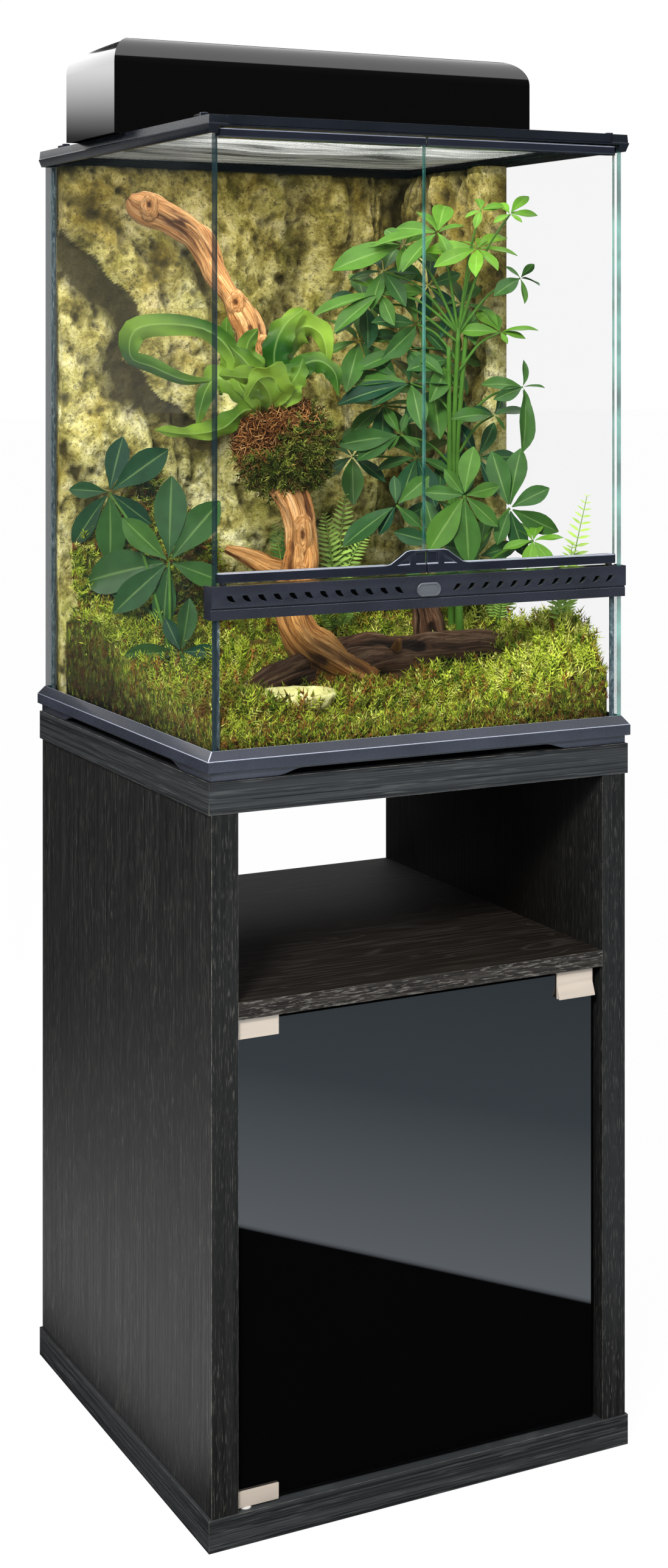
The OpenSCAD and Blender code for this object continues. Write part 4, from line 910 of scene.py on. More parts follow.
def moss_on_ground(rng):
    low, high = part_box("ground")
    dish_low, dish_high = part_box("stone_dish")
    dish, dish_reach = (dish_low + dish_high) / 2, 0.46 * (dish_high.x - dish_low.x)
    room = GLASS_IN - GLASS_GAP
    front_strip, left_strip = 0.12, 0.09
    beds = [("all", 4200, (7, 12)), ("front", 4800, (8, 15)), ("left", 2200, (8, 15)),
            ("feather", 3600, (13, 26))]
    for number, (bed, count, sizes) in enumerate(beds):
        frames, tints = [], []
        while len(frames) < count:
            x, y = rng.uniform(low.x + 0.002, high.x - 0.002), rng.uniform(low.y + 0.002, high.y - 0.004)
            if bed == "front" or (bed == "feather" and rng.random() < 0.6):
                y = rng.uniform(low.y + 0.001, low.y + front_strip)
            elif bed == "left" or (bed == "feather" and rng.random() < 0.4):
                x = rng.uniform(low.x + 0.001, low.x + left_strip)
            bare = noise.noise(Vector((x * 13, y * 13, 5)))
            if (bare > 0.22 and rng.random() < 0.6) or math.hypot(x - dish.x, y - dish.y) < dish_reach:
                continue
            size = rng.uniform(*sizes) * MM * (1.25 if bare < -0.2 else 0.95)
            tilt = Vector((rng.uniform(-0.8, 0.8), rng.uniform(-0.8, 0.8), 1)).normalized()
            reach = 1.15 * size
            tilt.x = max(min(tilt.x, (room - x) / reach), (-room - x) / reach)
            tilt.y = max(tilt.y, (-room - y) / reach)
            frames.append(facing(tilt, any_turn(rng), (x, y, ground_top(x, y) - 0.001), size))
            bright = x > 0.09 and y < -0.1
            left_front = clamp((0.08 - x) / 0.1) * clamp((-0.1 - y) / 0.04)
            weights = (5, 5 + 5 * bright, 3, 2 + 4 * bright, 2 + 3 * left_front,
                       1 + (bare > 0.1) * 3 + 4 * left_front)
            tints.append(moss_tint(rng, weights, (0.85 if bed == "all" else 1.0) * (1 - 0.35 * left_front)))
        template = feather_template(number) if bed == "feather" else sprig_template(7, number)
        copies(f"moss_{bed}", template, frames, moss_green, tints)


def moss_against_glass(rng):
    """Sprigs pressed flat on the ground's left and front walls."""
    low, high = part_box("ground")
    off, edge, flatness = 0.0004, 0.002, 0.07
    frames, tints = [], []
    while len(frames) < 3000:
        side = rng.random() < 0.5
        x = low.x - off if side else rng.uniform(low.x, high.x)
        y = rng.uniform(low.y, high.y) if side else low.y - off
        z = rng.uniform(GROUND_Z + edge, ground_top(x, y) - edge)
        lean = rng.uniform(-1, 1)
        tilt = Vector((0.0, lean, 1)) if side else Vector((lean, 0.0, 1))
        place = facing(tilt, any_turn(rng), (x, y, z), rng.uniform(0.008, 0.016))
        place[0 if side else 1, :3] *= flatness
        frames.append(place)
        deep = (ground_top(x, y) - z) / 0.03
        tints.append(moss_tint(rng, (5, 4, 4, 1, 2 + 2 * deep, 2 + 5 * deep), max(0.35, 1 - 0.5 * deep)))
    copies("moss_against_glass", sprig_template(6, 13), frames, moss_green, tints)


def moss_on_rock(rng):
    """Moss that climbs the lower left of the rock."""
    for name, template, count, sizes in (("moss_on_rock", sprig_template(7, 9), 4200, (9, 17)),
                                         ("moss_hanging", feather_template(10), 1800, (14, 28))):
        frames, tints = [], []
        while len(frames) < count:
            x, z = rng.uniform(-0.214, -0.05), rng.uniform(0.775, 0.985)
            edge = 0.972 - 1.1 * abs(x + 0.128) + 0.045 * noise.noise(Vector((x * 30, z * 30, 1)))
            if z > edge or noise.noise(Vector((x * 26, z * 26, 8))) > 0.35:
                continue
            bank = 0.062 * max(0, (0.945 - z) / 0.17)
            y = GLASS_IN - (rock_depth(x, z, BACK_SEED) + 6) * MM - bank
            tilt = Vector((rng.uniform(-0.2, 0.6), -1, rng.uniform(-0.5, 0.9)))
            frames.append(facing(tilt, any_turn(rng), (x, y, z), rng.uniform(*sizes) * MM))
            tints.append(moss_tint(rng, (5, 5, 4, 2, 2, 4), 0.95))
        copies(name, template, frames, moss_green, tints)


def moss_sprigs():
    """All the moss of the bed and the rock, from one run of random numbers."""
    rng = random.Random(7)
    moss_on_ground(rng)
    moss_against_glass(rng)
    moss_on_rock(rng)


# ---------------------------------------------------------------- branch, log, dish, moss ball

def limb(name, stops, count, sides, rough, material, seed):
    """Gnarled round limb; stops are (x, y, z, radius) in mm. Its grain runs along it."""
    twist = 2.2                    # radians a metre that the ridges wind round it
    path = curve_points(stops, count) * MM
    bm, rings = sweep(path[:, :3], path[:, 3], sides)
    grain, hollows, run = {}, {}, 0.0
    for i, ring in enumerate(rings):
        centre = Vector(path[i, :3])
        if i:
            run += float(np.linalg.norm(path[i, :3] - path[i - 1, :3]))
        for k, v in enumerate(ring):
            a = 2 * math.pi * k / sides + twist * run
            c, s = math.cos(a), math.sin(a)
            ridge = fractal(Vector((3.0 * c, 3.0 * s, 9 * run + seed)), 3)
            lump = noise.noise(Vector((1.1 * c, 1.1 * s, 26 * run + seed)))
            pit = max(0.0, noise.noise(Vector((1.6 * c, 1.6 * s, 40 * run + 3 * seed))) - 0.32)
            scale = 1 + rough * (0.68 * ridge + 0.62 * lump) - 1.4 * rough * pit
            v.co = centre + (v.co - centre) * scale
            grain[v] = (5.2 * c, 5.2 * s, 13 * run + seed)
            hollows[v] = clamp(0.4 - 0.85 * ridge + 3 * pit)
    own = {"grain": [grain[v] for v in bm.verts], "hollow": [hollows[v] for v in bm.verts]}
    return finished(name, bm, finish_of[material], attributes=own)


def driftwood():
    """Main limb with a side stub and knots; places are (x, y, z, radius) in mm."""
    stops = [(-166, 128, 1263, 5), (-158, 126, 1257, 13), (-143, 118, 1249, 16), (-128, 108, 1240, 15),
             (-106, 90, 1222, 14), (-96, 72, 1196, 13), (-92, 60, 1178, 13), (-86, 46, 1160, 11),
             (-80, 34, 1143, 15), (-74, 22, 1122, 16), (-74, 12, 1098, 13), (-80, 2, 1072, 9),
             (-86, -12, 1040, 10), (-88, -24, 1004, 12), (-70, -42, 970, 14), (-58, -60, 940, 15),
             (-60, -76, 890, 16), (-80, -92, 845, 17), (-76, -108, 812, 19), (-48, -124, 790, 18),
             (-14, -138, 768, 14)]
    main = limb("driftwood_limb", stops, 240, 32, 0.46, "driftwood", 2.0)
    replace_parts(main, "driftwood_branch")
    stub = [(-66, -66, 872, 12), (-86, -52, 880, 11), (-106, -38, 892, 8), (-124, -30, 899, 4)]
    limb("driftwood_stub", stub, 40, 20, 0.5, "driftwood", 8.0)
    knots = [((-150, 108, 1252), 11, 1.35), ((-87, 26, 1148), 11, 1.35), ((-66, 4, 1104), 9, 1.35),
             ((-62, -82, 912), 10, 2.4), ((-70, -92, 868), 11, 1.9)]
    for number, (at, size, tall) in enumerate(knots):
        knot(f"driftwood_knot_{number + 1}", at, size, tall)


def knot(name, at, size, tall):
    """Knot whose sunk dark eye looks to the front left; size in mm, tall is its height to its width."""
    bm = bmesh.new()
    bmesh.ops.create_icosphere(bm, subdivisions=4, radius=1.0)
    eye, eye_width = Vector((-0.42, -0.88, 0.18)).normalized(), 0.33
    grain, hollows = [], []
    for v in bm.verts:
        out = v.co.normalized()
        off = math.acos(clamp(out.dot(eye), -1))
        sunk = math.exp(-(off / eye_width) ** 2)
        ring = 0.05 * math.cos(16 * off) * math.exp(-off)
        reach = 1 - 0.34 * sunk + ring + 0.16 * noise.noise(out * 2.2 + Vector((size, 0, 0)))
        v.co = (Vector(at) + size * reach * Vector((out.x, out.y, tall * out.z))) * MM
        grain.append((5 * off + 0.8 * noise.noise(out * 3), 2.5 * out.x, size))
        hollows.append(min(1, 0.25 + 0.75 * sunk))
    finished(name, bm, finish_of["driftwood"], attributes={"grain": grain, "hollow": hollows})


def bark_log():
    """Lying log with a dark stump and a twig; places are (x, y, z, radius) in mm."""
    stops = [(-150, -118, 760, 9), (-110, -116, 772, 17), (-60, -112, 782, 23), (0, -108, 788, 26),
             (60, -116, 786, 24), (110, -124, 787, 23), (150, -134, 780, 18), (184, -148, 776, 10)]
    stump = [(96, -70, 772, 20), (92, -66, 810, 15), (86, -62, 846, 9)]
    twig = [(20, -126, 798, 5), (17, -138, 806, 4), (12, -150, 812, 2.6)]
    main = limb("bark_limb", stops, 180, 36, 0.5, "bark", 5.0)
    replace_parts(main, "bark_log")
    limb("bark_stump", stump, 40, 22, 0.5, "bark", 11.0)
    limb("bark_twig", twig, 16, 12, 0.3, "driftwood", 3.0)


def stone_dish():
    """Dish turned from its profile and made uneven."""
    low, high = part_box("stone_dish")
    centre, floor = (low + high) / 2, Vector((0, 0, (low.z - high.z) / 2))
    outer, height = (high.x - low.x) / 2, high.z - low.z
    profile = [(0.0, 0.0), (outer - 0.006, 0.0), (outer - 0.003, 0.4 * height), (outer, 0.86 * height),
               (outer - 0.002, height), (outer - 0.006, 0.97 * height), (outer - 0.009, 0.6 * height),
               (outer - 0.016, 0.36 * height), (0.0, 0.3 * height)]
    bm = bmesh.new()
    line = [bmesh.ops.create_vert(bm, co=(r, 0, z))["vert"][0] for r, z in profile]
    edges = [bmesh.ops.contextual_create(bm, geom=[a, b])["edges"][0] for a, b in zip(line, line[1:])]
    bmesh.ops.spin(bm, geom=line + edges, cent=(0, 0, 0), axis=(0, 0, 1), angle=2 * math.pi, steps=72,
                   use_merge=True)
    bmesh.ops.remove_doubles(bm, verts=bm.verts, dist=1e-6)
    bmesh.ops.subdivide_edges(bm, edges=bm.edges, cuts=1, use_grid_fill=True)
    for v in bm.verts:
        p = v.co.copy()
        bump = noise.noise(p * 90) * 0.0016 + noise.noise(p * 32 + Vector((4, 0, 0))) * 0.002
        out = Vector((p.x, p.y, 0))
        v.co = centre + floor + p + (out.normalized() * bump if out.length > 0.01 else out * 0)
        v.co.z = min(high.z, v.co.z + 0.5 * bump * min(1, p.z / 0.01))
    bmesh.ops.recalc_face_normals(bm, faces=bm.faces)
    obj = finished("dish_body", bm, finish_of["dish_stone"])
    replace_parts(obj, "stone_dish")


def root_strand():
    """A thin curly root, about one unit long."""
    stops = [(0, 0, 0), (0.16, 0.05, 0.22), (-0.08, 0.16, 0.45), (0.1, -0.1, 0.7), (-0.12, 0.02, 0.95)]
    bm, _ = sweep(curve_points(stops, 10), np.linspace(0.045, 0.015, 10), 3)
    return template_of(bm)


def moss_ball():
    """Ragged clump on the branch: brown roots above left, green moss below right."""
    low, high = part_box("moss_ball")
    centre, radius = (low + high) / 2, (high.x - low.x) / 2
    core_share, greener_way = 0.84, Vector((0.5, -0.25, -0.75))
    rng = random.Random(4)

    def skin(out):
        return centre + out * radius * core_share * (1 + 0.16 * fractal(out * 2.1 + Vector((3, 1, 0)), 4))

    def any_way():
        return Vector((rng.gauss(0, 1), rng.gauss(0, 1), rng.gauss(0, 1))).normalized()

    bm = bmesh.new()
    bmesh.ops.create_icosphere(bm, subdivisions=5, radius=1.0)
    for v in bm.verts:
        v.co = skin(v.co.normalized())
    dark = [(0.03, 0.022, 0.008)] * len(bm.verts)
    obj = finished("moss_ball_core", bm, moss_green, attributes={"tint": dark})
    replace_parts(obj, "moss_ball")
    greens = [(0.1, 0.15, 0.018), (0.2, 0.24, 0.035), (0.05, 0.075, 0.01), (0.3, 0.33, 0.06),
              (0.16, 0.1, 0.025)]
    browns = [(0.2, 0.075, 0.022), (0.4, 0.17, 0.05), (0.09, 0.03, 0.01), (0.55, 0.3, 0.11)]
    wanted = {"green": 2600, "feathers": 1500, "roots": 1500}
    placed = {kind: ([], []) for kind in wanted}
    while any(len(placed[kind][0]) < count for kind, count in wanted.items()):
        out = any_way()
        green = out.dot(greener_way) + 0.45 * noise.noise(out * 2.4) > -0.08
        kind = ("feathers" if rng.random() < 0.4 else "green") if green else "roots"
        frames, tints = placed[kind]
        if len(frames) >= wanted[kind]:
            continue
        if kind == "roots":
            way = out.cross(any_way()).normalized() + 0.35 * out
            size = rng.uniform(0.014, 0.03)
        else:
            way = out + 0.6 * any_way() + Vector((0, 0, -0.25))
            size = rng.uniform(0.013, 0.024) if kind == "feathers" else rng.uniform(0.008, 0.015)
        frames.append(facing(way, any_turn(rng), skin(out), size))
        shade = rng.uniform(0.55, 1.2)
        tints.append([c * shade for c in rng.choice(browns if kind == "roots" else greens)])
    shapes = {"green": sprig_template(6, 21), "feathers": feather_template(22), "roots": root_strand()}
    for kind, (frames, tints) in placed.items():
        copies(f"moss_ball_{kind}", shapes[kind], frames, moss_green, tints)


# ---------------------------------------------------------------- leaves and stems

def leaf_shape(widest, half_width, fold, droop, steps=8, wave=0.0):
    """(template, across) of a leaf one unit long along +X, widest at a share of its length."""
    def half(s):
        rise = math.sin(math.pi / 2 * min(1, s / widest)) ** 1.1
        fall = math.cos(math.pi / 2 * max(0, (s - widest) / (1 - widest))) ** 0.8
        return max(0.012, half_width * rise * fall)
    bm = bmesh.new()
    bmesh.ops.create_grid(bm, x_segments=steps, y_segments=4, size=0.5)
    for v in bm.verts:
        s, w = v.co.x + 0.5, 2 * v.co.y
        ripple = wave * math.sin(9 * s) * w * w
        v.co = (s, w * half(s), fold * abs(w) * half(s) * 2.2 - droop * s * s + ripple * half_width)
    bmesh.ops.solidify(bm, geom=bm.faces[:] + bm.edges[:] + bm.verts[:], thickness=0.008)
    points, faces = template_of(bm)
    across = [abs(y) / half(clamp(s)) for s, y, _ in points]
    return (points, faces), np.clip(across, 0, 1)


def leaf_frame(at, along, up, length, width=1.0):
    """4x4 frame of a leaf along a direction with its upper side towards up; width is a share."""
    x = Vector(along).normalized()
    z = Vector(up) - Vector(up).dot(x) * x
    z.normalize()
    y = z.cross(x)
    made = Matrix((x * length, y * length * width, z * length)).transposed().to_4x4()
    made.translation = Vector(at)
    return np.array(made)


def stems(name, lines, material, node):
    """Round stems in one piece, for a node; each line is (stops, first radius, last radius) in mm."""
    parts = []
    for stops, first, last in lines:
        count = 6 * len(stops)
        bm, _ = sweep(curve_points(stops, count) * MM, np.linspace(first, last, count) * MM, 8)
        parts.append(template_of(bm))
    shape = merged(parts)
    plain = {"tint": [0.42] * len(shape[0]), "across": [1.0] * len(shape[0])}
    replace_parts(solid(name, shape, material, plain), node)


def bent(start, end):
    """Stops of a stalk that leaves its start upwards and arches to its end."""
    arch = 0.14                    # rise of its middle, as a share of its length
    s, e = Vector(start), Vector(end)
    mid = s.lerp(e, 0.5) + Vector((0, 0, arch * (e - s).length))
    return [tuple(s), tuple(mid), tuple(e)]


THIN = 34                          # turn in degrees above which an edge of a leaf is sharp
OVAL_LEAF = leaf_shape(0.6, 0.19, fold=0.14, droop=0.2, wave=0.06)
BROAD_LEAF = leaf_shape(0.6, 0.215, fold=0.1, droop=0.12, wave=0.08)
LEAF_ROOM, LEAF_BACK = 214, 186    # mm from the middle that leaves reach: sides and front, and back


def splayed(at, normal, leaves, rng):
    """Frames of a whorl seen from the front; each leaf is (angle up from the right, seen reach in mm)."""
    centre, n = Vector(at), Vector(normal).normalized()
    frames = []
    for clock, reach in leaves:
        a = math.radians(clock)
        seen = math.cos(a) * ASIDE + math.sin(a) * Vector((0, 0, 1))
        along = seen - seen.dot(n) / AHEAD.dot(n) * AHEAD
        tip = centre + reach * along
        tip += max(0, (-LEAF_ROOM - tip.x) / AHEAD.x) * AHEAD
        tip -= max(0, (tip.x - LEAF_ROOM) / AHEAD.x) * AHEAD
        tip.y = clamp(tip.y, -LEAF_ROOM, LEAF_BACK)
        way = tip - centre
        up = n + 0.42 * Vector((rng.uniform(-1, 1), rng.uniform(-1, 1), rng.uniform(-1, 1)))
        frames.append(leaf_frame((centre + 0.06 * way) * MM, way, up, 0.94 * way.length * MM,
                                 rng.uniform(0.92, 1.08)))
    return frames


FLAT_ON = (-0.35, -0.88, 0.3)      # whorl that faces the front left
LIFTED = (-0.28, -0.55, 0.78)      # whorl that faces more to the light
SIDEWAYS = (0.25, -0.75, 0.45)     # whorl that faces right of the front


def plant(name, whorls, joint, trunks, leaf, node, seed, stalk_radii, trunk_radii):
    """Leaves and stalks of one plant; each whorl is (place, normal, leaves, tint)."""
    rng = random.Random(seed)
    frames, tints, lines = [], [], []
    for at, normal, leaves, tint in whorls:
        made = splayed(at, normal, leaves, rng)
        frames += made
        tints += [clamp(tint + rng.uniform(-0.16, 0.16)) for _ in made]
        start = (joint[0], joint[1], min(at[2] - 42, joint[2]))
        lines.append((bent(start, at), *stalk_radii))
    lines += [(trunk, *trunk_radii) for trunk in trunks]
    template, across = leaf
    green = finish_of["umbrella_leaf"]
    copies(name + "_leaves", template, frames, green, tints, extra={"across": across},
           crease=THIN)
    stems(name + "_stems", lines, green, node)


def ring_of(count, reach, turn, squash=1.0):
    """Even leaves round a whorl, shorter up and down where it is seen at a slant."""
    def seen(a):
        c, s = abs(math.cos(math.radians(a))), abs(math.sin(math.radians(a)))
        return reach * (c + squash * s) / (c + s)
    return [(a, seen(a)) for a in (turn + 360 * k / count for k in range(count))]


def umbrella_plants():
    """Three plants; places and reaches are in mm."""
    tall = [
        ((77, 10, 1160), LIFTED,
         [(139, 46), (78, 34), (41, 50), (10, 46), (-74, 30), (-149, 60), (-171, 76)], 0.42),
        ((103, 0, 1100), LIFTED, [(-165, 58), (144, 38), (86, 34), (7, 43), (-27, 42), (-63, 24)], 0.24),
        ((96, -20, 1065), LIFTED, [(172, 84), (-171, 78), (-157, 45), (-75, 40), (7, 42), (110, 34)], 0.16),
        ((161, -50, 1208), (-0.2, -0.45, 0.9),
         [(176, 55), (-163, 47), (141, 22), (63, 20), (35, 42), (0, 43), (-40, 27), (-105, 24)], 0.8),
        ((132, -15, 1226), LIFTED,
         [(118, 37), (74, 44), (25, 33), (-142, 53), (183, 70), (167, 46), (-60, 26)], 0.52),
        ((107, 15, 1213), LIFTED, [(-166, 78), (177, 59), (131, 32), (41, 32), (-98, 25), (-20, 40)], 0.5),
        ((208, -60, 1177), SIDEWAYS, [(-153, 30), (135, 20), (50, 22), (-8, 20), (-74, 26)], 0.3),
        ((183, -60, 1119), LIFTED, [(126, 38), (104, 28), (13, 39), (-7, 27), (-56, 12), (173, 44)], 0.55),
        ((202, -75, 1061), SIDEWAYS,
         [(77, 30), (168, 41), (-159, 29), (-73, 29), (10, 21), (-84, 62)], 0.22),
        ((84, -20, 1010), FLAT_ON,
         [(-174, 66), (-155, 52), (-135, 20), (-27, 24), (74, 25), (120, 36)], 0.14),
        ((175, -60, 1031), SIDEWAYS, [(175, 41), (153, 23), (50, 27), (15, 38), (-45, 20)], 0.2),
        ((159, -60, 1248), LIFTED, [(90, 18), (-114, 18), (11, 18), (20, 29), (-163, 18)], 0.7),
        ((186, -75, 1244), LIFTED, [(50, 33), (26, 12), (-30, 14), (-158, 19), (120, 20), (5, 30)], 0.75),
    ]
    # these whorls fill the inside of the plant; their low tints are painted shade
    even = [                       # whorls with alike leaves: place, normal, count, reach, turn, tint
        ((140, 10, 1057), LIFTED, 7, 42, 20, 0.2), ((118, 5, 1128), SIDEWAYS, 6, 44, 50, 0.2),
        ((150, -10, 1090), SIDEWAYS, 6, 42, 5, 0.2), ((112, -5, 985), LIFTED, 7, 44, 35, 0.16),
        ((66, 40, 1110), LIFTED, 6, 46, 15, 0.2), ((170, -35, 985), FLAT_ON, 6, 44, 0, 0.12),
        ((128, -25, 940), FLAT_ON, 6, 42, 25, 0.06), ((78, 50, 1150), LIFTED, 6, 40, 40, 0.16),
        ((95, 40, 1040), LIFTED, 7, 42, 10, 0.16), ((60, 45, 985), LIFTED, 6, 40, 30, 0.16),
        ((140, 20, 1170), FLAT_ON, 6, 40, 20, 0.1), ((170, 0, 1150), LIFTED, 6, 38, 50, 0.16),
        ((90, 30, 1185), LIFTED, 6, 38, 5, 0.18),
    ]
    tall += [(at, normal, ring_of(*ring), tint) for at, normal, *ring, tint in even]
    trunks = [[(150 + 6 * k, -20 + 5 * k, GROUND_Z / MM + 40), (144 + 4 * k, -28, 880),
               (143 + 5 * k, -30, 1000), (149 + 12 * k, -30, 1124 + 20 * k)] for k in (-1, 0, 1)]
    plant("tall_plant", tall, (149, -30, 1118), trunks, OVAL_LEAF, "tall_umbrella_plant", 12,
          stalk_radii=(1.7, 1.0), trunk_radii=(3.6, 2.4))

    front = [
        ((107, -115, 951), FLAT_ON,
         [(80, 52), (174, 42), (-125, 66), (-87, 68), (-42, 46), (14, 38), (128, 34)], 0.28),
        ((155, -125, 937), FLAT_ON,
         [(107, 62), (80, 64), (27, 48), (-27, 56), (-75, 50), (-112, 38)], 0.22),
        ((57, -60, 939), FLAT_ON, [(-147, 68), (-123, 34), (93, 31), (41, 47), (-40, 34)], 0.16),
        ((168, -150, 905), LIFTED, ring_of(6, 34, 10, 0.6), 0.7),
        ((92, -85, 900), FLAT_ON, ring_of(6, 46, 45), 0.12),
        ((138, -90, 885), FLAT_ON, ring_of(6, 44, 15), 0.14),
    ]
    trunk = [(116, -88, 760), (117, -88, 800), (116, -88, 845)]
    plant("front_plant", front, (116, -88, 840), [trunk], BROAD_LEAF, "front_umbrella_plant", 14,
          stalk_radii=(2.4, 1.5), trunk_radii=(5, 4))

    left = [
        ((-178, 154, 947), FLAT_ON, [(79, 62), (37, 78), (-37, 56), (-86, 73), (-128, 74), (176, 51)], 0.1),
        ((-152, 50, 880), FLAT_ON,
         [(90, 90), (51, 82), (-20, 62), (-96, 68), (-139, 75), (-167, 104), (139, 68)], 0.16),
        ((-169, 90, 832), FLAT_ON, [(-143, 61), (-65, 53), (-15, 40), (150, 36)], 0.12),
        ((-160, 0, 793), FLAT_ON, [(79, 54), (0, 40), (-68, 36), (-177, 57), (117, 38)], 0.04),
    ]
    trunk = [(-165, 16, 745), (-165, 16, 770), (-165, 16, 795)]
    plant("left_plant", left, (-165, 16, 790), [trunk], BROAD_LEAF, "left_umbrella_plant", 16,
          stalk_radii=(2.2, 1.2), trunk_radii=(4, 3))


def ribbon(stops, width, twist):
    """(points, faces, across) in metres of a strap leaf along its stops, tapering and rippled."""
    steps = 30
    path = curve_points(stops, steps)
    side, sides = None, []
    for i in range(steps):
        ahead = Vector(path[min(i + 1, steps - 1)] - path[max(i - 1, 0)]).normalized()
        if side is None:
            side = ahead.cross(AHEAD)
        side = (side - side.dot(ahead) * ahead).normalized()
        side = Matrix.Rotation(twist / steps, 3, ahead) @ side
        sides.append((side, side.cross(ahead)))
    bm = bmesh.new()
    bmesh.ops.create_grid(bm, x_segments=steps - 1, y_segments=8, size=0.5)
    layer = bm.verts.layers.float.new("across")
    for v in bm.verts:
        t, w = v.co.x + 0.5, 2 * v.co.y
        i = round(t * (steps - 1))
        half = 0.46 * width * max(0.05, min(1, 2.6 * t + 0.22) * min(1, 2.6 * (1 - t)) ** 0.6)
        half *= 1 + 0.14 * math.sin(17 * t + width) + 0.07 * math.sin(39 * t + 2 * width)
        lift = half * (0.42 * abs(w) + 0.34 * w * w * math.sin(25 * t + 2 * w + width))
        v[layer] = abs(w)
        v.co = (Vector(path[i]) + sides[i][0] * w * half + sides[i][1] * lift) * MM
    bmesh.ops.solidify(bm, geom=bm.faces[:] + bm.edges[:] + bm.verts[:], thickness=0.0006)
    bmesh.ops.recalc_face_normals(bm, faces=bm.faces)
    across = [v[layer] for v in bm.verts]
    return (*template_of(bm), across)


def strap_fern():
    """Strap leaves that arch out of the moss ball; each is (stops, width, twist), in mm and radians."""
    root = (-84, -44, 1036)
    leaves = [([root, (-112, -36, 1066), (-116, -30, 1096), (-140, -20, 1121), (-180, 0, 1127),
                (-208, 8, 1120), (-211, 10, 1094), (-190, 4, 1084), (-160, -12, 1070), (-132, -24, 1070)],
               24, 0.3),
              ([root, (-104, -38, 1040), (-130, -38, 1022), (-160, -24, 1016), (-192, -8, 1020)], 24, -0.4),
              ([root, (-104, -34, 1058), (-128, -26, 1072), (-141, -20, 1060), (-150, -16, 1024)], 30, 0.5),
              ([root, (-92, -33, 1050), (-106, -26, 1076), (-117, -20, 1106), (-118, -20, 1134)], 30, 0.4),
              ([root, (-96, -50, 1052), (-103, -50, 1078), (-108, -48, 1104), (-98, -52, 1122)], 30, 0.2),
              ([root, (-96, -56, 1056), (-108, -54, 1084), (-126, -42, 1106)], 26, -0.3),
              ([root, (-78, -51, 1066), (-79, -51, 1098), (-70, -54, 1124), (-52, -63, 1142)], 34, -0.4),
              ([root, (-72, -42, 1064), (-66, -44, 1100), (-48, -52, 1124), (-30, -60, 1116),
                (-24, -64, 1086)], 36, 0.5),
              ([root, (-76, -60, 1056), (-64, -68, 1080), (-44, -78, 1090), (-28, -86, 1078),
                (-24, -88, 1054)], 26, -0.5),
              ([root, (-92, -70, 1052), (-110, -82, 1070), (-132, -76, 1074), (-148, -68, 1076)], 30, 0.4),
              ([root, (-88, -72, 1054), (-96, -88, 1072), (-112, -86, 1072), (-124, -80, 1052)], 34, 0.4),
              ([root, (-76, -66, 1050), (-72, -76, 1066), (-66, -80, 1078), (-60, -78, 1092)], 26, -0.3),
              ([root, (-66, -30, 1060), (-40, -14, 1086), (-14, 0, 1080)], 22, 0.5)]
    parts, tints, across = [], [], []
    rng = random.Random(3)
    for stops, width, twist in leaves:
        points, faces, edge = ribbon(stops, width, twist)
        parts.append((points, faces))
        bands = 0.35 * np.sin(70 * points[:, 2] + 40 * points[:, 0])
        tints += list(np.clip(rng.uniform(0.25, 0.85) + bands, 0, 1))
        across += edge
    obj = solid("strap_leaves", merged(parts), finish_of["strap_leaf"],
                {"tint": tints, "across": across}, THIN)
    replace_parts(obj, "strap_fern")


def foot_on_ground(x, y):
    """Place on the dressed ground, all in mm."""
    return x, y, ground_top(x * MM, y * MM) / MM


def spray(foot, tint, ways):
    """Fronds that share a foot and go different ways from it."""
    return [(foot, (foot[0] + dx, foot[1] + dy, foot[2] + up), tint) for dx, dy, up in ways]


